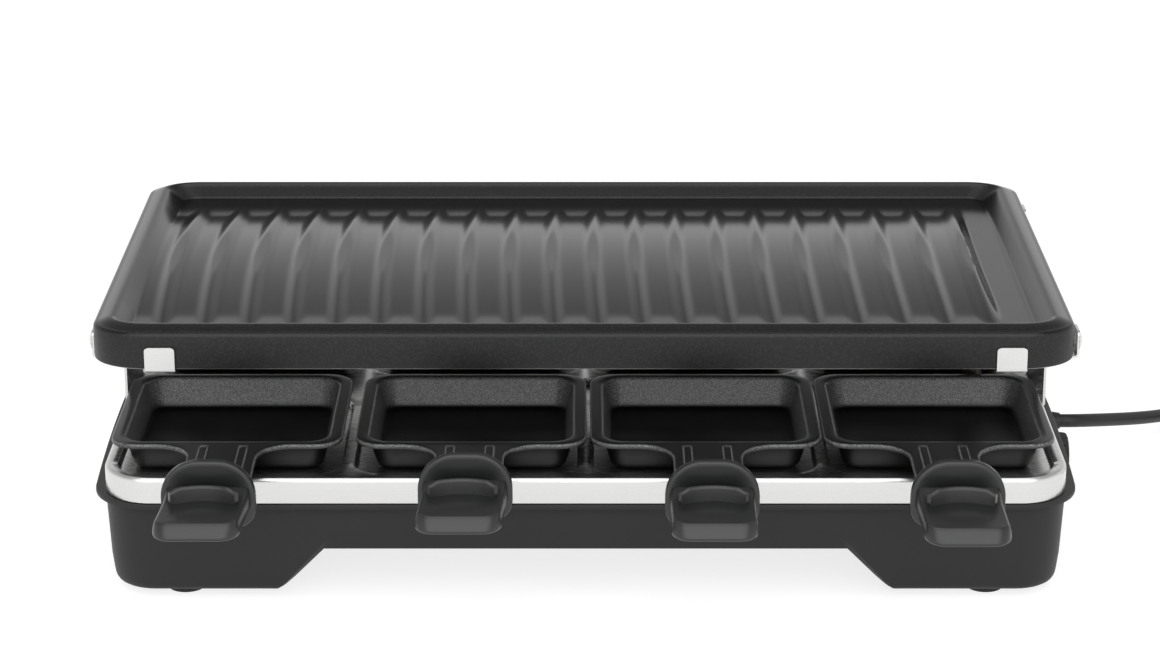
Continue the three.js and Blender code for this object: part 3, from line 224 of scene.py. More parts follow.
def coated_cast_aluminium():
    """Cast aluminium with a sprayed non-stick coating on top. To the eye it is dark and half gloss, mirrors
    more and more at a low angle, and is drier and rougher on its upright sides. Its grain is drawn at 0.7 mm,
    coarser than it is, so that it shows. The underside is bare metal, as cast."""
    material, tree, shader, place = new_material(
        "coated_cast_aluminium", {"IOR": 1.5, "Specular IOR Level": 0.36})
    noise = grain(tree, place, shader, 0.7, 0.014)
    facing = add(tree, "ShaderNodeNewGeometry")
    upward = add(tree, "ShaderNodeSeparateXYZ", links={0: facing.outputs["Normal"]})
    under = mapped(tree, upward.outputs["Z"], (-0.5, -0.6))
    dry = mapped(tree, upward.outputs["Z"], (0.3, 0.8), (0.42, 0.17))
    tree.links.new(dry, shader.inputs["Roughness"])
    speck = mapped(tree, noise, (0.45, 0.75))
    sprayed = add(tree, "ShaderNodeMix", {"data_type": "RGBA", 6: linear("#080808"), 7: linear("#242525")},
                  {0: speck})
    shade = add(tree, "ShaderNodeMix", {"data_type": "RGBA", 7: linear("#b4b4b2")},
                {0: under, 6: sprayed.outputs[2]})
    tree.links.new(shade.outputs[2], shader.inputs["Base Color"])
    tree.links.new(under, shader.inputs["Metallic"])
    return material


def coated_pan_steel():
    """Deep-drawn steel with a baked non-stick coating: a satin grey with a sparkle of 0.6 mm, coarser than
    it is. That grey is kept as painted light on the steep inner walls, which face the light; painted shade
    darkens the level rim and tongue and paints the floor under the plate and the downward outside black."""
    material, tree, shader, place = new_material("coated_pan_steel", {"IOR": 1.5, "Roughness": 0.35})
    noise = grain(tree, place, shader, 0.6, 0.03)
    split = add(tree, "ShaderNodeSeparateXYZ", links={0: place})
    # Painted shade: below 62 to 65 mm, the floor under the plate and the foot of the walls go black
    above_shaded_floor = mapped(tree, split.outputs["Z"], (0.0622, 0.0648))
    facing = add(tree, "ShaderNodeNewGeometry")
    upward = add(tree, "ShaderNodeSeparateXYZ", links={0: facing.outputs["Normal"]})
    # Painted shade: faces turned downwards, on the outside of the basin, are painted black
    inside = mapped(tree, upward.outputs["Z"], (0.0, 0.15))
    # Painted light and shade: steep walls keep all the lit grey, level faces such as rim and tongue a tenth
    steep = mapped(tree, upward.outputs["Z"], (0.75, 0.97), (1.0, 0.1))
    # The share of painted light: above the floor, facing up, and steep
    upper = add(tree, "ShaderNodeMath", {"operation": "MULTIPLY"}, {0: above_shaded_floor, 1: inside})
    sprayed = add(tree, "ShaderNodeMath", {"operation": "MULTIPLY"}, {0: upper.outputs[0], 1: steep})
    speck = mapped(tree, noise, (0.38, 0.75))
    # Painted light: the lit grey of the walls, with the coating's sparkle
    lit_wall_grey = add(tree, "ShaderNodeMix", {"data_type": "RGBA", 6: linear("#272728"), 7: linear("#858687")},
               {0: speck})
    # Painted shade: near black wherever the share of painted light is low
    shade = add(tree, "ShaderNodeMix", {"data_type": "RGBA", 6: linear("#030303")},
                {0: sprayed.outputs[0], 7: lit_wall_grey.outputs[2]})
    tree.links.new(shade.outputs[2], shader.inputs["Base Color"])
    return material


def moulded_thermoplastic(name, colour, roughness, gloss):
    """Moulded plastic with a fine eroded texture of 0.5 mm, which softens what it mirrors."""
    material, tree, shader, place = new_material(
        name, {"Base Color": linear(colour), "IOR": 1.49, "Specular IOR Level": gloss})
    grain(tree, place, shader, 0.5, 0.012, roughness, 0.05)
    return material


def brushed_stainless_steel():
    """Stainless sheet, brushed along its length, with soft streaks in its shine. The grain lines lie 0.7 mm
    apart, coarser than they are, so that they show, and are drawn out to 50 mm along X."""
    material, tree, shader, place = new_material(
        "brushed_stainless_steel", {"Base Color": linear("#d2d2d1"), "Metallic": 1.0})
    stretch = add(tree, "ShaderNodeMapping", {"Scale": (20.0, 1500.0, 1500.0)}, {"Vector": place})
    noise = add(tree, "ShaderNodeTexNoise", {"Scale": 1.0, "Detail": 2.0},
                {"Vector": stretch.outputs["Vector"]})
    bump = add(tree, "ShaderNodeBump", {"Distance": 0.000002, "Strength": 0.3},
               {"Height": noise.outputs["Fac"]})
    tree.links.new(bump.outputs["Normal"], shader.inputs["Normal"])
    gloss = mapped(tree, noise.outputs["Fac"], (0.0, 1.0), (0.22, 0.34))
    tree.links.new(gloss, shader.inputs["Roughness"])
    return material


def plain_finish(name, colour, roughness, metallic=0.0):
    """A smooth moulded or drawn surface, whose gloss is a little uneven from one 3 mm patch to the next."""
    material, tree, shader, place = new_material(name, {"Base Color": linear(colour), "Metallic": metallic})
    noise = add(tree, "ShaderNodeTexNoise", {"Scale": 330.0, "Detail": 2.0}, {"Vector": place})
    gloss = mapped(tree, noise.outputs["Fac"], (0.0, 1.0), (roughness - 0.05, roughness + 0.05))
    tree.links.new(gloss, shader.inputs["Roughness"])
    return material


finishes = {
    "base_plastic": moulded_thermoplastic("moulded_base_polyamide", "#2c2c2c", 0.5, 0.25),
    "handle_plastic": moulded_thermoplastic("moulded_handle_phenolic", "#1a1b1b", 0.34, 0.6),
    "cast_coating": coated_cast_aluminium(),
    "pan_coating": coated_pan_steel(),
    "steel": brushed_stainless_steel(),
    "element_steel": plain_finish("drawn_element_sheath", "#5a5650", 0.45, 1.0),
    "terminal_plastic": plain_finish("moulded_terminal_plastic", "#d8d2c4", 0.6),
    "thermostat_plastic": plain_finish("moulded_thermostat_plastic", "#2a2b2c", 0.5),
    "foot_rubber": plain_finish("moulded_foot_rubber", "#131313", 0.7),
    "cord_plastic": plain_finish("extruded_cord_vinyl", "#0c0c0d", 0.5),
    "pin_brass": plain_finish("nickel_plated_brass_pin", "#c9c2b0", 0.25, 1.0),
    "wire_brown": plain_finish("extruded_wire_vinyl_brown", "#5b3a22", 0.4),
    "wire_blue": plain_finish("extruded_wire_vinyl_blue", "#2c5aa0", 0.4),
    "wire_green": plain_finish("extruded_wire_vinyl_green", "#6f9a3a", 0.4),
}
slot_of = {row["node"]: row["material_slot"] for row in frame["record"]["subparts"]}
for name, obj in nodes.items():
    obj.data.materials.clear()
    obj.data.materials.append(finishes[slot_of[name]])

curve.materials.append(finishes["cord_plastic"])
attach(mains_cord, "base")
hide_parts("cord_lead", "cord_coil", "cord_tail")


# Meshes: surfaces worked out as whole arrays, in millimetres from the tray's middle and up from the table

def grid(points, wrap=False):
    """Quads over points (rows, columns, 3), one between four neighbours; wrap joins the last column to the
    first."""
    rows, columns = points.shape[:2]
    index = np.arange(rows * columns).reshape(rows, columns)
    if wrap:
        index = np.hstack([index, index[:, :1]])
    quads = np.stack([index[:-1, :-1], index[:-1, 1:], index[1:, 1:], index[1:, :-1]], axis=-1)
    return points.reshape(-1, 3), quads.reshape(-1, 4)


def fan(ring):
    """Triangles from a ring of points to its own middle, written as quads whose last two corners are one."""
    count = len(ring)
    here = np.arange(count)
    quads = np.stack([np.full(count, count), here, np.roll(here, -1), np.roll(here, -1)], axis=-1)
    return np.vstack([ring, ring.mean(0)]), quads


def join(*parts):
    """Several (points, quads) as one."""
    starts = np.cumsum([0] + [len(points) for points, quads in parts[:-1]])
    shifted = [quads + start for (points, quads), start in zip(parts, starts)]
    return np.vstack([points for points, quads in parts]), np.vstack(shifted)


def capped(rings):
    """A closed skin: quads between rings of points, and a fan at each end."""
    return join(grid(rings, True), fan(rings[0][::-1]), fan(rings[-1]))


def piece(name, part, slot, body, replaced, wall=0.0, sharp=34, away=None, middle=False):
    """An object from a part that stands for the replaced node: near points welded, faces turned from the
    point away, a wall where it is a sheet (inwards, or about its middle), smooth but for its sharp edges."""
    points, quads = part
    points = (points + [MIDDLE, 0, 0]) * MM
    faces = [q[:3] if q[2] == q[3] else q for q in quads.tolist()]
    mesh = bpy.data.meshes.new(name)
    mesh.from_pydata(points.tolist(), [], faces)
    work = bmesh.new()
    work.from_mesh(mesh)
    bmesh.ops.remove_doubles(work, verts=work.verts, dist=0.01 * MM)
    bmesh.ops.dissolve_degenerate(work, edges=work.edges, dist=0.005 * MM)
    bmesh.ops.recalc_face_normals(work, faces=work.faces)
    if away is not None:
        centre = Vector(away) * MM
        outwards = sum(face.normal.dot(face.calc_center_median() - centre) * face.calc_area()
                       for face in work.faces)
        if outwards < 0:
            bmesh.ops.reverse_faces(work, faces=work.faces)
    work.to_mesh(mesh)
    work.free()
    obj = placed(name, mesh)
    if wall:
        thick = obj.modifiers.new("wall", "SOLIDIFY")
        thick.thickness = wall * MM
        thick.offset = 0 if middle else -1
        graph = bpy.context.evaluated_depsgraph_get()
        mesh = bpy.data.meshes.new_from_object(obj.evaluated_get(graph))
        obj.modifiers.clear()
        obj.data = mesh
    mesh.shade_smooth()
    mesh.set_sharp_from_angle(angle=math.radians(sharp))
    mesh.materials.append(finishes[slot])
    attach(obj, body)
    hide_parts(replaced)


def rounded(half_x, half_y, radius, steps=8, front=(), sides=()):
    """Points and outward ways round a rectangle with rounded corners, anticlockwise from the front's right
    end; front and sides hold extra stations as rising shares of the straight stretches."""
    x, y = half_x - radius, half_y - radius
    turn = np.linspace(-math.pi / 2, 0, steps + 1)
    corners = ((x, -y, sides), (x, y, front[::-1]), (-x, y, sides[::-1]), (-x, -y, front))
    found = []
    for quarter, (cx, cy, shares) in enumerate(corners):
        angle = turn + quarter * math.pi / 2
        way = np.stack([np.cos(angle), np.sin(angle)], axis=-1)
        found.append((np.array([cx, cy]) + radius * way, way))
        if len(shares):
            at_end = quarter % 2 == 0
            ahead = np.array([math.cos(quarter * math.pi / 2), math.sin(quarter * math.pi / 2)])
            along = np.array([[0, share * y] if at_end else [share * x, 0] for share in shares])
            place = along + ahead * (half_x if at_end else half_y)
            found.append((place, np.tile(ahead, (len(shares), 1))))
    return np.vstack([points for points, ways in found]), np.vstack([ways for points, ways in found])


def rings_out(points, ways, profile):
    """Rings from a profile of (distance outwards, height): each point moves along its outward way."""
    return np.stack([np.column_stack([points + ways * out, np.full(len(points), z)]) for out, z in profile])


def arc(centre, radius, first, last, steps=6):
    """Profile points round an arc from one angle to another, in degrees."""
    angle = np.radians(np.linspace(first, last, steps + 1))
    return [(centre[0] + radius * math.cos(a), centre[1] + radius * math.sin(a)) for a in angle]


def revolved(profile, count=48, along="z"):
    """A closed body of revolution from (radius, height) points, whose ends lie on the axis; a fan closes each
    end, and its Z axis is laid along the axis named."""
    profile = np.array(profile, float)
    angle = np.linspace(0, 2 * math.pi, count, endpoint=False)
    r, h = profile[1:-1, 0][:, None], profile[1:-1, 1][:, None]
    points, quads = capped(np.stack([r * np.cos(angle), r * np.sin(angle), h + 0 * angle], axis=-1))
    return points[:, {"z": [0, 1, 2], "x": [2, 0, 1], "y": [1, 2, 0]}[along]], quads


def moved(part, x=0.0, y=0.0, z=0.0):
    """The part moved by these millimetres."""
    return part[0] + [x, y, z], part[1]


def bent(corners, radii, steps=6):
    """Points along straight runs joined by circular bends, whose centres lie on the corners' bisectors."""
    corners = np.array(corners, float)
    found = [corners[:1]]
    for before, here, after, radius in zip(corners, corners[1:], corners[2:], radii):
        back = (before - here) / np.linalg.norm(before - here)
        on = (after - here) / np.linalg.norm(after - here)
        half = math.acos(float(np.clip(back @ on, -1, 1))) / 2
        centre = here + (back + on) / np.linalg.norm(back + on) * radius / math.sin(half)
        start = here + back * radius / math.tan(half) - centre
        end = here + on * radius / math.tan(half) - centre
        sweep = math.pi - 2 * half
        angle = np.linspace(0, sweep, steps + 1)[:, None]
        found.append(centre + (start * np.sin(sweep - angle) + end * np.sin(angle)) / math.sin(sweep))
    return np.vstack([*found, corners[-1:]])


def tube(path, radius, count):
    """A closed tube along a path: rings square to the path, each turned on from the one before by its own
    least turn."""
    way = np.gradient(path, axis=0)
    way /= np.linalg.norm(way, axis=1, keepdims=True)
    side = np.cross(way[0], [0.31, 0.87, 0.38])
    angle = np.linspace(0, 2 * math.pi, count, endpoint=False)[:, None]
    rings = []
    for place, ahead in zip(path, way):
        side = side - ahead * (side @ ahead)
        side /= np.linalg.norm(side)
        rings.append(place + radius * (np.cos(angle) * side + np.sin(angle) * np.cross(ahead, side)))
    return capped(np.stack(rings))


def pressed_grid(half_x, half_y, radius, xs, ys):
    """A flat grid over a rounded rectangle: in a corner square (a, b) goes to (a sqrt(1 - b²/2),
    b sqrt(1 - a²/2)). Also its outer loop and outward ways."""
    x, y = np.meshgrid(xs, ys)
    a = np.clip((np.abs(x) - half_x + radius) / radius, 0, 1)
    b = np.clip((np.abs(y) - half_y + radius) / radius, 0, 1)
    x = np.where(a > 0, np.sign(x) * (half_x - radius + radius * a * np.sqrt(1 - b * b / 2)), x)
    y = np.where(b > 0, np.sign(y) * (half_y - radius + radius * b * np.sqrt(1 - a * a / 2)), y)
    flat = np.stack([x, y], axis=-1)
    loop = np.concatenate([flat[0, :-1], flat[:-1, -1], flat[-1, :0:-1], flat[:0:-1, 0]])
    inner = np.array([half_x - radius, half_y - radius])
    way = loop - np.clip(loop, -inner, inner)
    return flat, loop, way / np.linalg.norm(way, axis=1, keepdims=True)


def lines_between(*stops):
    """Grid lines: (place, place, count) stretches joined end to end."""
    found = [np.linspace(a, b, count, endpoint=False) for a, b, count in stops]
    return np.concatenate([*found, [stops[-1][1]]])


# Cast grill plate

PLATE_HALF = (230.0, 125.0)
PLATE_TOP, PLATE_FLOOR, PLATE_BOTTOM, PLATE_SHIFT = 135.4, 126.9, 115.4, -0.9
RIM_WIDTH = (12.5, 11.0)
END_SLOPE = 5.0
FIELD_CORNER = 9.0
RIB_FIRST, RIB_LAST, RIB_COUNT, RIB_LINES = -199.6, 193.4, 20, 22
RIB_RISE, RIB_REACH, RIB_DEPTH, RIB_BOW = 7.6, 97.0, 2.3, 2.6
RIB_PITCH = (RIB_LAST - RIB_FIRST) / (RIB_COUNT - 1)
RIB_CREST, RIB_FLANK = -0.02, 0.33
RIB_FADE, RIB_SUNK = 9.0, 0.8
RIB_SOFT, RIB_LEVEL = 0.22, 30


def rib_bow(y):
    """How far the ribs lie to the left at y: a parabola that is nothing at their ends."""
    return RIB_BOW * np.clip(1 - (y / RIB_REACH) ** 2, 0, 1)


def rib_height(x, y):
    """Height over the plate's floor: the crown, rise (1 - (y/reach)²), less depth between the ribs, whose
    rounded crests span 0.6 of the pitch, and less all of it past the last rib. The height h is softened to
    s ln(1 + exp(h/s)), which never falls under the floor and is level above 30 s, or 6.6 mm."""
    line = x + rib_bow(y)
    phase = (line - RIB_FIRST) / RIB_PITCH
    off = np.abs(phase - np.round(phase))
    crest = 1 - smoothstep((off - RIB_CREST) / RIB_FLANK)
    crest = np.where(phase < -0.5, 0.0, np.where(line > RIB_LAST, 1.0, crest))
    height = RIB_RISE * (1 - (y / RIB_REACH) ** 2) - RIB_DEPTH * (1 - crest)
    past = smoothstep((line - RIB_LAST) / RIB_FADE)
    height = height * (1 - past) - RIB_SUNK * past
    return RIB_SOFT * np.log1p(np.exp(np.clip(height / RIB_SOFT, -RIB_LEVEL, RIB_LEVEL)))


def grill_plate():
    """Rib field on a fine grid whose columns bow with the ribs, then rings outwards: inner wall, steep in
    front and behind and sloping at the ends, domed rim, side, skirt, and the underside back in."""
    half_x, half_y = PLATE_HALF[0] - RIM_WIDTH[0] - END_SLOPE, PLATE_HALF[1] - RIM_WIDTH[1]
    straight_x, straight_y = half_x - FIELD_CORNER, half_y - FIELD_CORNER
    xs = lines_between((-half_x, -straight_x, 7), (-straight_x, RIB_FIRST, 5),
                       (RIB_FIRST, RIB_LAST, (RIB_COUNT - 1) * RIB_LINES),
                       (RIB_LAST, straight_x, 12), (straight_x, half_x, 7))
    ys = lines_between((-half_y, -straight_y, 6), (-straight_y, -74, 22), (-74, 74, 40), (74, straight_y, 22),
                       (straight_y, half_y, 6))
    flat, loop, ways = pressed_grid(half_x, half_y, FIELD_CORNER, xs, ys)
    inside = smoothstep((half_x - np.abs(flat[..., 0])) / 12)
    flat[..., 0] -= rib_bow(flat[..., 1]) * inside
    field = grid(np.dstack([flat, PLATE_FLOOR + rib_height(flat[..., 0], flat[..., 1])]))
    inner_wall = [(0.0, PLATE_FLOOR), (0.3, PLATE_FLOOR + 0.12), (0.5, PLATE_FLOOR + 0.5),
                  (0.6, PLATE_FLOOR + 1.3), (0.9, PLATE_TOP - 2.6), (1.05, PLATE_TOP - 1.3),
                  (1.4, PLATE_TOP - 0.45), (2.1, PLATE_TOP - 0.05)]
    rim = [(2.9, PLATE_TOP - 0.03), (4.0, PLATE_TOP - 0.28), (5.7, PLATE_TOP - 0.9), (7.6, PLATE_TOP - 1.7),
           (8.8, PLATE_TOP - 2.25)] + arc((9.1, PLATE_TOP - 4.2), 1.9, 82, 0, 6)
    skirt = [(11.0, PLATE_BOTTOM + 1.2), (10.8, PLATE_BOTTOM + 0.5), (10.2, PLATE_BOTTOM),
             (7.9, PLATE_BOTTOM), (7.6, PLATE_BOTTOM + 0.3)]
    underside = [(7.6, 118.5), (7.1, 119.0), (1.0, 122.7), (0.0, 122.9)]
    rings = rings_out(loop, ways, inner_wall + rim + skirt + underside)
    # The inner wall leans out at the ends as it rises, and its foot follows the ribs' ends
    wall_rings = len(inner_wall)
    risen = np.ones(len(rings))
    risen[:wall_rings] = [(z - PLATE_FLOOR) / (PLATE_TOP - PLATE_FLOOR) for out, z in inner_wall]
    lean = END_SLOPE + RIM_WIDTH[0] - RIM_WIDTH[1]
    rings[..., 0] += ways[:, 0] * risen[:, None] * lean
    rings[:wall_rings, :, 2] += rib_height(*loop.T) * (1 - risen[:wall_rings, None])
    return moved(join(field, grid(rings, True), fan(rings[-1])), x=PLATE_SHIFT)


piece("cast_grill_plate", grill_plate(), "cast_coating", "grill_plate", "grill_plate", sharp=38)


# Base housing: one moulding with a lip, and an arch through its middle

BASE_HALF, BASE_CORNER = (229.0, 128.0), 24
BASE_BOTTOM, BASE_TOP, BASE_DRAFT = 3.5, 50.0, 2.4
ARCH_HALF, ARCH_BLEND, ARCH_CHAMFER = 150, 7.5, 2.5
LIP_LOW, LIP_WIDTH, LIP_BOW = 47.2, 3.0, 3.7
TOUCH = 0.01


def arch_edges(x):
    """Height of the arch's edge and of the chamfer's top line over x; both run down to the same point of the
    foot."""
    half = np.abs(x)
    edge = np.interp(half, [0, 124.1, 138, 142.5, 146.5, ARCH_HALF],
                     [25.1, 25.1, 10.9, 6.7, 4.2, BASE_BOTTOM])
    line = np.interp(half, [0, 119.0, 143.5, 147, ARCH_HALF], [34.7, 34.7, 7.1, 4.4, BASE_BOTTOM])
    return edge, line


def drafted(z):
    """How far the outer wall has come in at height z, for the mould's draft."""
    return BASE_DRAFT * (1 - (z - BASE_BOTTOM) / (BASE_TOP - BASE_BOTTOM))


def in_order(chosen, key):
    """The numbers of the chosen points, by rising key."""
    found = np.flatnonzero(chosen)
    return found[np.argsort(key[found])]


def base_housing():
    """Outer skin by stations round the housing and rows up its wall: pods have a rounded foot and a crease,
    the arch a chamfer; then the lip, which bows out at the ends, on top."""
    front = np.concatenate([[150, 148, 146.5, 144, 142.5, 140], np.linspace(138, 126, 6), [124.1, 121.5, 119],
                            np.linspace(100, 0, 8)])
    front = np.concatenate([-front, front[:-1][::-1]])
    points, ways = rounded(*BASE_HALF, BASE_CORNER, 10, front / (BASE_HALF[0] - BASE_CORNER),
                           np.linspace(-0.9, 0.9, 9))
    x, y = points.T
    on_front = np.abs(ways[:, 0]) < 1e-9
    edge, line = arch_edges(x)
    arch = np.where(on_front, smoothstep((ARCH_HALF - np.abs(x)) / ARCH_BLEND), 0.0)
    foot = [(6.9, 0.0), (5.4, 0.3), (4.2, 1.1), (3.4, 2.3), (2.9, 3.8), (2.6, 5.6), (2.15, 9.6), (1.9, 11.7),
            (1.74, 12.6)]
    rows = []
    for share, (inset, up) in zip(np.linspace(0, 1, len(foot)), foot):
        arch_z = edge + (line - edge) * share
        arch_inset = drafted(arch_z) + ARCH_CHAMFER * (1 - share)
        z = (BASE_BOTTOM + up) * (1 - arch) + arch_z * arch
        rows.append(np.column_stack([points - ways * (inset * (1 - arch) + arch_inset * arch)[:, None], z]))
    low = rows[-1][:, 2]
    for share in (0.3, 0.65, 1.0):
        z = low + (LIP_LOW - low) * share
        rows.append(np.column_stack([points - ways * drafted(z)[:, None], z]))
    bow = LIP_BOW * (1 - (y / BASE_HALF[1]) ** 2)
    reach = np.column_stack([LIP_WIDTH + 0.5 + bow, np.full(len(x), LIP_WIDTH)])
    for out, z in [(0.0, 47.35), (0.25, 47.4), (0.85, 47.4), (0.96, 47.5), (1.0, 47.9), (1.0, 49.5),
                   (0.96, 49.9), (0.85, BASE_TOP), (-0.6, BASE_TOP)]:
        rows.append(np.column_stack([points + ways * reach * out, np.full(len(x), z)]))
    # Arch roof and legs run straight from the front edge to the back edge; fans close the pods' undersides
    in_arch = on_front & (np.abs(x) <= ARCH_HALF + TOUCH)
    bottom = rows[0]
    share = np.linspace(0, 1, 9)[:, None, None]
    front_edge, back_edge = (bottom[in_order(in_arch & (side * y > 0), x)] for side in (-1, 1))
    roof = front_edge * (1 - share) + back_edge * share
    pods = []
    for side in (-1, 1):
        around = in_order(side * x >= ARCH_HALF - TOUCH, np.arctan2(y, side * x - ARCH_HALF))
        pods.append(fan(bottom[around]))
    return join(grid(np.stack(rows), True), grid(roof), *pods)


piece("base_moulding", base_housing(), "base_plastic", "base", "base_housing", wall=2.4, sharp=28,
      away=(MIDDLE, 0, 40))


# Pressed tray

TRAY_HALF = (228.5, 130.0)
TRAY_TOP, TRAY_BOTTOM = 63.0, 50.3
TRAY_CORNER, TRAY_EDGE = 21.8, 2.2
PAN_PITCH, POCKET_Y = 112.4, 69.5
POCKET_HALF, POCKET_CORNER = (53.8, 53.5), 15
SHOULDER_WIDTH, SHOULDER_DEPTH = 2.4, 0.45
POCKET_SLOPE, POCKET_WALL = 1.6, 2.55


def pocket_depth(x, y):
    """Depth under the tray's top: 3 mm inside each pocket's rounded outline, of which a shoulder 2.4 mm wide
    takes 0.45 mm as the square of the way in, and a wall 1.6 mm wide the rest."""
    depth = np.zeros_like(x)
    for i in range(4):
        for side in (-1, 1):
            dx = np.abs(x - (i - 1.5) * PAN_PITCH) - POCKET_HALF[0] + POCKET_CORNER
            dy = np.abs(y - side * POCKET_Y) - POCKET_HALF[1] + POCKET_CORNER
            past_corner = np.hypot(np.maximum(dx, 0), np.maximum(dy, 0))
            outside = past_corner + np.minimum(np.maximum(dx, dy), 0) - POCKET_CORNER
            shoulder = SHOULDER_DEPTH * (1 - np.clip(outside / SHOULDER_WIDTH, 0, 1)) ** 2
            depth = np.maximum(depth, shoulder + POCKET_WALL * smoothstep(-outside / POCKET_SLOPE))
    return depth


def pocket_lines(middles, half, end):
    """Grid lines across a row of pockets: close together within 16 mm of each pocket's edge and wide apart in
    its middle."""
    near = np.concatenate([np.linspace(0, 2.4, 7), np.linspace(3.4, 16, 12)])
    one = np.concatenate([-half + near, np.linspace(-half + 22, half - 22, 9), half - near[::-1]])
    lines = np.concatenate([m + one for m in middles] + [[-end], [end]])
    edges = np.linspace(-end, end, 2 * int(end / 9) + 1)
    lines = np.unique(np.round(np.concatenate([lines, edges]), 3))
    return lines[np.concatenate([[True], np.diff(lines) > 0.25])]


def pan_tray():
    """Top on a grid with fine lines near the pockets' edges, then rings outwards over a rounded edge and down
    the band."""
    inner = (TRAY_HALF[0] - TRAY_EDGE, TRAY_HALF[1] - TRAY_EDGE)
    xs = pocket_lines([(i - 1.5) * PAN_PITCH for i in range(4)], POCKET_HALF[0], inner[0])
    ys = pocket_lines([-POCKET_Y, POCKET_Y], POCKET_HALF[1], inner[1])
    flat, loop, ways = pressed_grid(*inner, TRAY_CORNER, xs, ys)
    top = np.dstack([flat, TRAY_TOP - pocket_depth(flat[..., 0], flat[..., 1])])
    edge = arc((0.0, TRAY_TOP - TRAY_EDGE), TRAY_EDGE, 90, 0, 6)
    profile = [(0.0, TRAY_TOP)] + edge[1:] + [(TRAY_EDGE, 54.0), (TRAY_EDGE, TRAY_BOTTOM + 0.2)]
    return join(grid(top), grid(rings_out(loop, ways, profile), True))


piece("pressed_tray", pan_tray(), "steel", "base", "pan_tray", wall=1.0, sharp=40, away=(MIDDLE, 0, -500))


# Pans: deep-drawn sheet with a rolled edge that runs on round the tongue

PAN_HALF, PAN_CORNER = (54.8, 49.5), 13
PAN_TOP, PAN_FLOOR, PAN_Z, PAN_Y = 16.0, 1.0, 60.3, 70.5
BASIN_INSET, BASIN_CORNER = (6, 4.5), 12
REACH = 69.0
TONGUE, TONGUE_FALL, TONGUE_START = 15.0, 0.6, -50.8
FILLET = 17.0
ROLL = 1.2
BEAD_X, BEAD_HALF, BEAD_RISE, BEAD_START = 9.3, 2.4, 0.8, -50.5


def bead(x, y):
    """Height of the two pressed beads, 4.8 mm wide at their foot, rising over 4 mm in front of the pan."""
    across = smoothstep((BEAD_HALF - np.abs(np.abs(x) - BEAD_X)) / 0.9)
    return BEAD_RISE * across * smoothstep((BEAD_START - y) / 4.0)


def pressed_pan(lift):
    """Rings from the basin's floor up its wall and over the flange, the tongue's grid in front, which falls
    0.6 mm and rises by lift on its way to the handle, and the rolled edge round both."""
    root = TONGUE + FILLET
    beads_x = np.array([6.4, 6.8, 7.2, 7.7, 8.4, 10.2, 10.9, 11.4, 11.8, 12.3])
    tongue_x = np.concatenate([-beads_x[::-1], [-3, 0, 3], beads_x])
    fillet_x = np.array([root, 26, 20, 16])
    edge_x = np.concatenate([-fillet_x, tongue_x, fillet_x[::-1]])
    outer = (PAN_HALF[0] - ROLL, PAN_HALF[1] - ROLL)
    basin = (PAN_HALF[0] - BASIN_INSET[0], PAN_HALF[1] - BASIN_INSET[1])
    corner = PAN_CORNER - ROLL
    points_out, ways_out = rounded(*outer, corner, 9, edge_x / (outer[0] - corner), [-0.5, 0, 0.5])
    points_in, ways_in = rounded(*basin, BASIN_CORNER, 9, edge_x / (basin[0] - BASIN_CORNER), [-0.5, 0, 0.5])
    count = len(points_in)
    wall = rings_out(points_in, ways_in, [(-7.4, PAN_FLOOR), (-6.4, 1.05), (-5.4, 1.35), (-4.7, 2.0),
                                          (-4.2, 3.2), (-0.75, PAN_TOP - 1.6), (-0.5, PAN_TOP - 0.9),
                                          (0.0, PAN_TOP - 0.35), (0.7, PAN_TOP)])
    floor = [np.column_stack([wall[0][:, :2] * share, np.full(count, PAN_FLOOR)])
             for share in (0.25, 0.5, 0.75, 0.9)]
    between = (points_in + ways_in * 0.7) * 0.5 + points_out * 0.5
    flange = np.column_stack([between, np.full(count, PAN_TOP + 0.05)])
    rim = np.column_stack([points_out, np.full(count, PAN_TOP)])
    skins = [fan(floor[0]), grid(np.concatenate([np.stack(floor), wall, flange[None], rim[None]]), True)]
    # The tongue's rows, from the pan's front edge along the fillet to its end inside the handle
    run = FILLET * (1 - np.cos(np.linspace(0, math.pi / 2, 12)))
    fillet_halves = root - np.sqrt(np.clip(FILLET ** 2 - (FILLET - run) ** 2, 0, None))
    halves = np.concatenate([fillet_halves, np.full(8, TONGUE)])
    rows_y = -outer[1] - np.concatenate([run, [22, 28, 36, 46, 58, 70, 84, 97]])
    limit = beads_x[-1]
    tongue = []
    for y, half in zip(rows_y, halves):
        beside = limit + (half - limit) * (fillet_x - limit) / (root - limit)
        x = np.concatenate([-beside, tongue_x, beside[::-1]])
        row_y = np.full(len(x), y)
        drop = (TONGUE_FALL - lift) * np.clip(TONGUE_START - y, 0, None) / REACH
        tongue.append(np.column_stack([x, row_y, PAN_TOP + bead(x, row_y) - drop]))
    tongue = np.stack(tongue)
    skins.append(grid(tongue))
    # The rolled edge: a quarter turn down and a straight drop, along the pan's outline and then the tongue's
    roll = [(0.0, 0.0), (0.45, -0.09), (0.85, -0.35), (1.11, -0.75), (ROLL, -1.2), (ROLL, -2.3)]
    in_front = ways_out[:, 1] < -0.99
    at = np.flatnonzero(~((np.abs(points_out[:, 0]) < root - TOUCH) & in_front))
    start = np.flatnonzero((np.abs(points_out[:, 0] - root) < TOUCH) & in_front)[0]
    order = np.concatenate([at[at >= start], at[at < start]])
    skins.append(grid(rings_out(points_out[order], ways_out[order], [(out, PAN_TOP + z) for out, z in roll])))
    for side in (-1, 1):
        line = tongue[:, 0 if side < 0 else -1]
        way = np.gradient(line[:, :2], axis=0)
        way = np.stack([side * -way[:, 1], side * way[:, 0]], axis=-1)
        way /= np.linalg.norm(way, axis=1, keepdims=True)
        way[0] = [0, -1]
        skins.append(grid(np.stack([np.column_stack([line[:, :2] + way * out, line[:, 2] + z])
                                    for out, z in roll])))
    return join(*skins)


# Handles: an upright guard, and a tab with a ridge behind the thumb

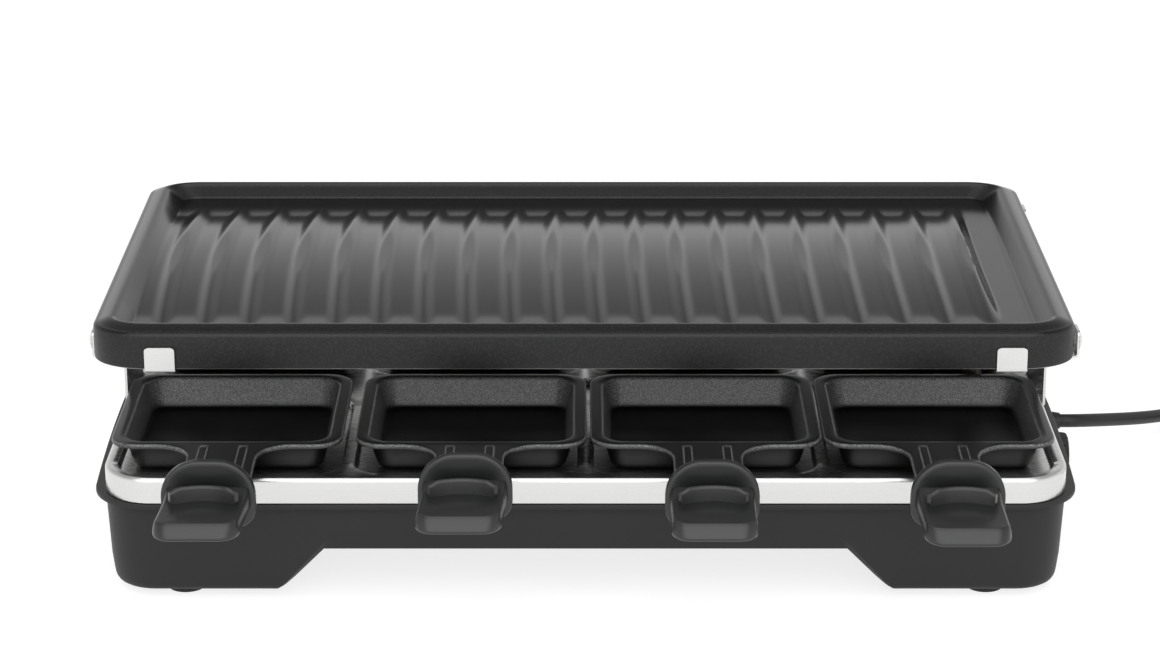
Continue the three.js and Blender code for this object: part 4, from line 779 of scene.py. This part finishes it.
FACE_Y = -PAN_HALF[1] - REACH
GUARD_HALF, GUARD_FRONT = 21.3, FACE_Y - 2.3
TAB_NOSE, TAB_ROOT = FACE_Y - 42, FACE_Y + 1.2
TAB_HALF, TAB_CORNER = 19.3, 9.0
TAB_TOP = 19.9
TAB_LOW = TAB_TOP - 7.5
NOSE_SLANT = 2.8
RIDGE_HALF, RIDGE_Y, RIDGE_ARC = 15.0, FACE_Y - 9.8, 4.6


def inset_outline(points, distance):
    """A closed outline moved inwards by a distance along its own normals."""
    ahead = np.roll(points, -1, axis=0) - np.roll(points, 1, axis=0)
    normal = np.stack([ahead[:, 1], -ahead[:, 0]], axis=-1)
    return points - normal / np.linalg.norm(normal, axis=1, keepdims=True) * distance


def guard_outline():
    """The guard's face: round on top with 17 mm corners and softer at the foot with 9 mm ones."""
    found = []
    for side, radius, cz, first in ((1, 9, 12, -90), (1, 17, 17.8, 0), (-1, 17, 17.8, 90), (-1, 9, 12, 180)):
        angle = np.radians(np.linspace(first, first + 90, 15))
        cx = side * (GUARD_HALF - radius)
        found.append(np.stack([cx + radius * np.cos(angle), cz + radius * np.sin(angle)], axis=-1))
    return np.vstack(found)


def guard():
    """The guard's outline carried through its thickness, drawn in where its edges are rounded."""
    face = guard_outline()
    rings = []
    for inset, depth in [(2.2, 0.0), (0.9, 0.0), (0.4, 0.2), (0.1, 0.55), (0.0, 1.0), (0.0, 3.6), (0.1, 4.05),
                         (0.4, 4.4), (0.9, 4.6), (2.2, 4.6)]:
        flat = inset_outline(face, inset)
        rings.append(np.column_stack([flat[:, 0], np.full(len(flat), GUARD_FRONT + depth), flat[:, 1]]))
    return capped(np.stack(rings))


def tab_plan():
    """The tab from above: rounded nose, straight sides, and a back edge inside the guard."""
    turn = np.radians(np.linspace(180, 270, 12))
    left = np.stack([-TAB_HALF + TAB_CORNER + TAB_CORNER * np.cos(turn),
                     TAB_NOSE + TAB_CORNER + TAB_CORNER * np.sin(turn)], axis=-1)
    side = np.linspace(TAB_NOSE + TAB_CORNER + 4, TAB_ROOT, 8)
    back = np.linspace(TAB_HALF - 4, -TAB_HALF + 4, 9)
    return np.vstack([left, left[::-1] * [-1, 1], np.column_stack([np.full(8, TAB_HALF), side]),
                      np.column_stack([back, np.full(9, TAB_ROOT)]),
                      np.column_stack([np.full(8, -TAB_HALF), side[::-1]])])


def tab_upper(flat):
    """Height of the tab's top: hollowed a little across, with a thumb dimple, and rising to the guard."""
    x, y = flat.T
    along = np.clip((y - TAB_NOSE) / (TAB_ROOT - TAB_NOSE), 0, 1)
    hollow = -0.9 * np.sin(math.pi * np.clip((along - 0.05) / 0.75, 0, 1)) * np.clip(1 - (x / 20) ** 2, 0, 1)
    dimple = -0.6 * np.clip(1 - ((x / 9.5) ** 2 + ((y - FACE_Y + 26) / 7) ** 2), 0, 1)
    return TAB_TOP + hollow + dimple + 3.6 * smoothstep((along - 0.72) / 0.28)


def thumb_tab():
    """Rings from the middle of the tab's top out to its outline, down its side, and in again underneath; the
    nose slants back as it rises."""
    plan = tab_plan()
    centre = np.array([0, FACE_Y - 20.0])
    rings = []
    for share in (0.05, 0.15, 0.27, 0.39, 0.51, 0.62, 0.72, 0.81, 0.88):
        flat = centre + (plan - centre) * share
        rings.append(np.column_stack([flat, tab_upper(flat)]))
    for inset, down in ((2.4, 0.0), (1.7, 0.15), (1.2, 0.5), (0.8, 1.1), (0.3, 3.2)):
        flat = inset_outline(plan, inset)
        rings.append(np.column_stack([flat, tab_upper(flat) - down]))
    for inset, up in ((0.0, 1.8), (0.1, 0.95), (0.4, 0.45), (0.9, 0.12), (1.5, 0.0)):
        rings.append(np.column_stack([inset_outline(plan, inset), np.full(len(plan), TAB_LOW + up)]))
    for share in (0.7, 0.3):
        rings.append(np.column_stack([centre + (plan - centre) * share, np.full(len(plan), TAB_LOW)]))
    rings = np.stack(rings)
    at_nose = np.clip(1 - (rings[..., 1] - TAB_NOSE) / 8, 0, 1)
    rings[..., 1] += NOSE_SLANT * at_nose * np.clip((rings[..., 2] - TAB_LOW) / (TAB_TOP - TAB_LOW), 0, 1)
    return capped(rings)


def thumb_ridge():
    """A rounded bar along a parabola whose middle lies furthest back, falling at both ends."""
    t = np.linspace(-1, 1, 25)
    path = np.column_stack([RIDGE_HALF * t, RIDGE_Y - RIDGE_ARC * t ** 2])
    way = np.gradient(path, axis=0)
    way /= np.linalg.norm(way, axis=1, keepdims=True)
    out = np.stack([-way[:, 1], way[:, 0]], axis=-1)
    fall = 1.6 * smoothstep((np.abs(t) - 0.72) / 0.28)
    rows = [np.column_stack([path - out * 1.3, 14.0 + 0 * fall])]
    for offset, z in [(-1.3, 25.5), (-1.15, 26.1), (-0.6, 26.6), (0.0, 26.75), (0.6, 26.6), (1.15, 26.1),
                      (1.3, 25.5)]:
        rows.append(np.column_stack([path + out * offset, z - fall]))
    rows.append(np.column_stack([path + out * 1.3, 14.0 + 0 * fall]))
    return capped(np.stack(rows, axis=1))


def leaned(part, sway, nod):
    """A handle as it sits on its tongue: in front of the guard it goes sideways by sway and down by nod per
    millimetre."""
    ahead = np.clip(FACE_Y - part[0][:, 1], 0, None)
    return part[0] + np.column_stack([ahead * sway, 0 * ahead, -ahead * nod]), part[1]


# How each pan stands, from left to right: millimetres off its pitch and up at the handle, then sway and nod
FRONT_STANCES = ((-1.3, 0, -0.06, 0), (1.9, 3.4, -0.06, 0), (0.7, 0, 0, 0), (-1.2, 0, 0.03, 0.06))
REAR_STANCES = ((0, 0, 0, 0),) * 4

handle_part = join(guard(), thumb_tab(), thumb_ridge())
for row, side, stances in (("front", -1, FRONT_STANCES), ("rear", 1, REAR_STANCES)):
    turn = np.array([-side, -side, 1])
    for i, (off_pitch, lift, sway, nod) in enumerate(stances):
        name = f"{row}_{i + 1}"
        place = np.array([(i - 1.5) * PAN_PITCH + off_pitch, side * PAN_Y, PAN_Z])
        points, quads = pressed_pan(lift)
        piece(f"drawn_pan_{name}", (points * turn + place, quads), "pan_coating", f"pan_{name}",
              f"pan_{name}", wall=0.9, sharp=40, away=(0, 0, -500))
        points, quads = leaned(handle_part, sway, nod)
        piece(f"moulded_handle_{name}", (points * turn + place + [0, 0, lift], quads), "handle_plastic",
              f"pan_{name}", f"handle_{name}", sharp=40)


# Carriers: sheet 1.2 mm thick, folded with rounded bends

SHEET, SHEET_BEND, SHEET_CORNER = 1.2, 2.0, 1.8
CARRIER_LOW, CARRIER_HIGH = 63.9, 114.5
PANEL_X, PANEL_HALF, PANEL_FOOT_HALF = 225.8, 45.0, 12.0
STRIP_HALF = 7.0
STRAP_X, STRAP_Y, STRAP_TOP = 197.9, 126.0, 126.6
LUG_IN, LUG_X, LUG_Y, LUG_TOP = 204.9, 231.8, 98, 126.9
EAR_Y, EAR_Z, EAR_HALF, EAR_OUT = 104.4, 122.8, 4.1, 1.5


def strip(path, across, half_widths):
    """A strip of sheet: the path's points pushed both ways across by the half width there."""
    share = np.linspace(-1, 1, 5)[None, :, None]
    reach = np.array(across, float) * np.asarray(half_widths, float)[:, None, None]
    return grid(path[:, None, :] + share * reach)


def narrowed(path, half, corner):
    """Half widths along a path whose last points round off to a corner of this radius."""
    left = np.linalg.norm(path - path[-1], axis=1)
    inside = np.clip(corner - left, 0, corner)
    return half - (corner - np.sqrt(np.clip(corner ** 2 - inside ** 2, 0, None)))


def tab_strip(corners, across):
    """A strip with one bend and a rounded end, with close steps in its last millimetres."""
    path = bent(corners, [SHEET_CORNER])
    way = (path[-1] - path[-2]) / np.linalg.norm(path[-1] - path[-2])
    steps = SHEET_CORNER * np.cos(np.linspace(0, math.pi / 2, 6))[:, None]
    path = np.vstack([path[:-1], path[-1] - way * steps])
    return strip(path, across, narrowed(path, STRIP_HALF, SHEET_CORNER))


def folded_carrier():
    """Panel with its foot and top plate, a strap with a tab at each end, and two lugs with their ears, for
    the right end."""
    path = bent([(204.4, 0, CARRIER_LOW), (PANEL_X, 0, CARRIER_LOW), (PANEL_X, 0, CARRIER_HIGH),
                 (LUG_IN, 0, CARRIER_HIGH)], [SHEET_BEND, SHEET_BEND])
    # Three rows more on the panel, where it widens from its foot
    path = np.vstack([path[:8], [[PANEL_X, 0, z] for z in (66.6, 68.4, 90)], path[8:]])
    parts = [strip(path, (0, 1, 0), np.where(path[:, 2] < 67, PANEL_FOOT_HALF, PANEL_HALF))]
    for side in (-1, 1):
        parts.append(tab_strip([(STRAP_X, 0, CARRIER_HIGH), (STRAP_X, side * STRAP_Y, CARRIER_HIGH),
                                (STRAP_X, side * STRAP_Y, STRAP_TOP)], (1, 0, 0)))
        parts.append(tab_strip([(LUG_IN, side * LUG_Y, CARRIER_HIGH), (LUG_X, side * LUG_Y, CARRIER_HIGH),
                                (LUG_X, side * LUG_Y, LUG_TOP)], (0, 1, 0)))
        turn = np.linspace(-math.pi / 2, math.pi / 2, 13)
        flat_y, up = np.full(13, side * EAR_Y), EAR_Z + EAR_HALF * np.sin(turn)
        ear = np.stack([LUG_X + EAR_OUT * np.cos(turn), flat_y, up], axis=-1)
        hub = np.stack([np.full(13, LUG_X), flat_y, up], axis=-1)
        parts.append(grid(np.stack([hub, ear])))
    return join(*parts)


carrier = folded_carrier()
for name, side in (("right", 1), ("left", -1)):
    piece(f"folded_carrier_{name}", (carrier[0] * [side, 1, 1], carrier[1]), "steel", "base",
          f"carrier_{name}", wall=SHEET, middle=True)


# Heating element: a bent tube 8 mm thick

def heating_element():
    """One tube in two long loops, with both legs going down to the terminal block."""
    right, left, inner = 195.0, -188.0, 128.0
    high, low = 103.0, 38.9
    half = [(right, 9, low), (right, 9, high), (right, 75, high), (left, 75, high), (left, 28, high),
            (inner, 28, high)]
    corners = [(x, -y, z) for x, y, z in half] + half[::-1]
    return tube(bent(corners, [12] + [16] * 8 + [12], 8), 4.0, 20)


piece("bent_element", heating_element(), "element_steel", "base", "heating_element")


# Screws and feet

FOOT_X, FOOT_Y = 191.4, 110
CARRIER_SCREW_X = 214.4


def screw_head(shank_radius, seat):
    """Pan head 9 mm wide on its shank, with a cross recess: the dome's height less 1.3 mm where a point lies
    in the cross."""
    radius, angle = np.meshgrid(np.linspace(0.05, 4.3, 26), np.linspace(0, 2 * math.pi, 96, endpoint=False),
                                indexing="ij")
    x, y = radius * np.cos(angle), radius * np.sin(angle)
    arm = np.minimum(np.abs(x), np.abs(y))
    cross = smoothstep((0.62 - arm) / 0.25) * smoothstep((2.6 - radius) / 0.5)
    z = seat + 1.5 + 1.1 * (1 - (radius / 4.3) ** 2) - 1.3 * cross
    turn = angle[0]
    way = np.stack([np.cos(turn), np.sin(turn)], axis=-1)
    edge = [(4.45, 1.35), (4.5, 1.1), (4.5, 0.1), (4.4, 0.0), (shank_radius, 0.0), (shank_radius, -7.0),
            (shank_radius - 0.7, -8.0)]
    side = rings_out(0 * way, way, [(out, seat + up) for out, up in edge])
    return capped(np.concatenate([np.stack([x, y, z], axis=-1), side]))


piece("screw_middle", screw_head(1.6, 63.3), "steel", "base", "tray_screw")
for name, side in (("right", 1), ("left", -1)):
    piece(f"screw_{name}", moved(screw_head(2.3, 64.8), x=side * CARRIER_SCREW_X), "steel", "base",
          f"carrier_screw_{name}")

# A pad with a rounded edge and a hollow sole, and its stem
foot = revolved([(0, 0), (2.5, 0.0), (2.5, 0.6), (6.4, 0.6), (6.6, 0.0), (8.2, 0.0), (8.8, 0.25), (9.2, 0.9),
                 (9.2, 2.7), (9.0, 3.1), (8.6, 3.2), (3.6, 3.2), (3.6, 8.6), (3.0, 9.2), (0, 9.2)])
for name, x, y in (("front_left", -1, -1), ("front_right", 1, -1),
                   ("rear_right", 1, 1), ("rear_left", -1, 1)):
    piece(f"rubber_{name}", moved(foot, x=x * FOOT_X, y=y * FOOT_Y), "foot_rubber", "base", f"foot_{name}")


# Knob

WALL_X, SHAFT_Z = 227.775, 25.0
KNOB_RADIUS, KNOB_LENGTH, KNOB_GAP = 11.8, 16.2, 1.6
FLUTES, FLUTE_DEPTH = 18, 0.85


def grip_knob():
    """Knob with 18 flutes: its radius is 11.8 mm less up to 0.85 where the cosine of 18 turns is low, rounded
    at the face, with a pressed mark line."""
    angle = np.linspace(0, 2 * math.pi, FLUTES * 14, endpoint=False)
    way = np.stack([np.cos(angle), np.sin(angle)], axis=-1)
    flute = FLUTE_DEPTH * (0.5 - 0.5 * np.cos(FLUTES * angle)) ** 1.6
    rings = []
    for run, out, deep in ((0.0, -3.0, 0.0), (0.0, -0.6, 0.7), (0.5, 0.0, 1.0), (13.5, -0.3, 1.0),
                           (14.9, -0.55, 0.9), (15.7, -1.1, 0.6), (16.1, -2.0, 0.25),
                           (KNOB_LENGTH, -3.0, 0.0)):
        radius = KNOB_RADIUS + out - flute * deep
        rings.append(np.column_stack([np.full(len(angle), run), radius[:, None] * way]))
    for radius in (7.6, 6.4, 4.5, 2.0):
        rings.append(np.column_stack([np.full(len(angle), KNOB_LENGTH), radius * way]))
    rings = np.stack(rings)
    mark = smoothstep((0.9 - np.abs(rings[..., 1])) / 0.4) * (rings[..., 2] > 2.4) * (rings[..., 0] > 15)
    rings[..., 0] -= 0.7 * mark
    return moved(capped(rings), x=WALL_X + KNOB_GAP, z=SHAFT_Z)


piece("grip_knob", grip_knob(), "base_plastic", "knob", "temperature_knob")


# Strain relief, plug and pins

RELIEF_LENGTH, RELIEF_THICK, RELIEF_THIN = 20.8, 7.5, 4.2
PLUG_X = route[-1][0] - MIDDLE
PIN_SIDE, PIN_Y = 9.5, -6


def ribbed_relief():
    """Collar inside the wall, then a taper with five grooves round it."""
    run = np.linspace(0, RELIEF_LENGTH, 84)
    taper = RELIEF_THICK + (RELIEF_THIN - RELIEF_THICK) * run / RELIEF_LENGTH
    groove = 0.7 * smoothstep((np.cos(2 * math.pi * (run - 2.2) / 3.5) - 0.35) / 0.4)
    groove = groove * (run > 1.5) * (run < 19.0)
    profile = [(0, -6.8), (8.6, -6.8), (9.0, -6.4), (9.0, -5.2), (8.6, -4.8), (RELIEF_THICK, -4.8)]
    profile += list(zip(taper - groove, run)) + [(3.6, RELIEF_LENGTH), (0, RELIEF_LENGTH)]
    return moved(revolved(profile, along="x"), x=WALL_X, y=RELIEF_TIP[1], z=SHAFT_Z)


def round_plug():
    """Neck with three grooves, a shoulder, and a round body with a finger groove and a stepped face."""
    run = np.linspace(0.4, 17, 60)
    groove = 0.6 * smoothstep((np.cos(2 * math.pi * (run - 3.0) / 4.6) - 0.4) / 0.4)
    neck = 5.5 + run / 17 - groove * (run > 1.5) * (run < 15)
    profile = [(0, 0.0), (4.6, 0.0)] + list(zip(neck, run)) + [(8.0, 20.0), (12.5, 23.2)]
    profile += arc((15.0, 26.5), 2.5, 250, 360, 6)[1:]
    profile += [(17.5, 30.0), (16.9, 32.5), (16.9, 36.5), (17.5, 39.0), (17.5, 44.6), (17.1, 45.6),
                (16.3, 46.0), (13.0, 46.0), (12.6, 45.7), (0, 45.7)]
    points, quads = revolved(profile, 64, "y")
    return moved((points * [1, -1, 1], quads), x=PLUG_X, y=PLUG_Y, z=PLUG_Z)


def plug_pin(x):
    """A round pin with a rounded tip and a sleeve shoulder."""
    tip = [(2.24 * math.cos(a), 17.6 + 1.4 * math.sin(a)) for a in np.radians([20, 45, 70])]
    profile = [(0, -6.0), (2.4, -6.0), (2.4, 8.0), (2.25, 8.2), (2.25, 17.6)] + tip + [(0, 19.0)]
    points, quads = revolved(profile, 24, "y")
    return moved((points * [1, -1, 1], quads), x=x, y=PIN_Y, z=PLUG_Z)


piece("ribbed_relief", ribbed_relief(), "cord_plastic", "base", "cord_relief")
piece("round_plug", round_plug(), "cord_plastic", "base", "plug_body")
for name, side in (("left", -1), ("right", 1)):
    piece(f"pin_{name}", plug_pin(PLUG_X + side * PIN_SIDE), "pin_brass", "base", f"plug_pin_{name}")


# Floor, backdrop and light

def white_where_seen(name, colour, lift):
    """A matt surface that shows white to the camera and in reflections, and still takes a shadow."""
    material = bpy.data.materials.new(name)
    tree = emptied(material)
    matt = add(tree, "ShaderNodeBsdfDiffuse", {"Color": linear(colour)})
    path = add(tree, "ShaderNodeLightPath")
    glossy = add(tree, "ShaderNodeMath", {"operation": "MAXIMUM"},
                 {0: path.outputs["Is Camera Ray"], 1: path.outputs["Is Glossy Ray"]})
    seen = add(tree, "ShaderNodeMath", {"operation": "MAXIMUM"},
               {0: glossy.outputs[0], 1: path.outputs["Is Transmission Ray"]})
    power = add(tree, "ShaderNodeMath", {"operation": "MULTIPLY", 1: lift}, {0: seen.outputs[0]})
    glow = add(tree, "ShaderNodeEmission", links={"Strength": power.outputs[0]})
    both = add(tree, "ShaderNodeAddShader", links={0: matt.outputs[0], 1: glow.outputs[0]})
    add(tree, "ShaderNodeOutputMaterial", links={"Surface": both.outputs[0]})
    return material


floor_mesh = bpy.data.meshes.new("floor")
floor_mesh.from_pydata([(-6, -4, 0), (6, -4, 0), (6, 8, 0), (-6, 8, 0)], [], [(0, 1, 2, 3)])
floor_mesh.materials.append(white_where_seen("matt_white_floor", "#a8a8a8", 0.78))
floor = placed("floor", floor_mesh)

# The studio is white near the horizon and falls off to grey overhead
world = bpy.data.worlds.new("studio")
bpy.context.scene.world = world
sky = emptied(world)
way = add(sky, "ShaderNodeTexCoord")
split = add(sky, "ShaderNodeSeparateXYZ", links={0: way.outputs["Generated"]})
falling = add(sky, "ShaderNodeMapRange",
              {"interpolation_type": "SMOOTHSTEP", 1: 0.0, 2: 0.85, 3: 1.0, 4: 0.42},
              {"Value": split.outputs["Z"]})
paper = add(sky, "ShaderNodeBackground", {"Color": (1, 1, 1, 1)}, {"Strength": falling.outputs["Result"]})
add(sky, "ShaderNodeOutputWorld", links={"Surface": paper.outputs[0]})


def soft_box(name, place, aim, size, power):
    """A rectangular soft light at place that faces aim, in metres and watts."""
    data = bpy.data.lights.new(name, "AREA")
    data.shape = "RECTANGLE"
    data.size, data.size_y = size
    data.energy = power
    lamp = placed(name, data)
    lamp.location = place
    way = np.array(aim, float) - np.array(place, float)
    rise = math.atan2(way[2], math.hypot(way[0], way[1]))
    turn = math.atan2(way[1], way[0])
    lamp.rotation_euler = (math.pi / 2 + rise, 0, turn - math.pi / 2)


soft_box("overhead", (0.0, -0.4, 1.6), (0, 0, 0), (1.6, 0.9), 8)
soft_box("front", (0.0, -2.2, 1.35), (0, 0, 0.05), (4.0, 2.4), 52)
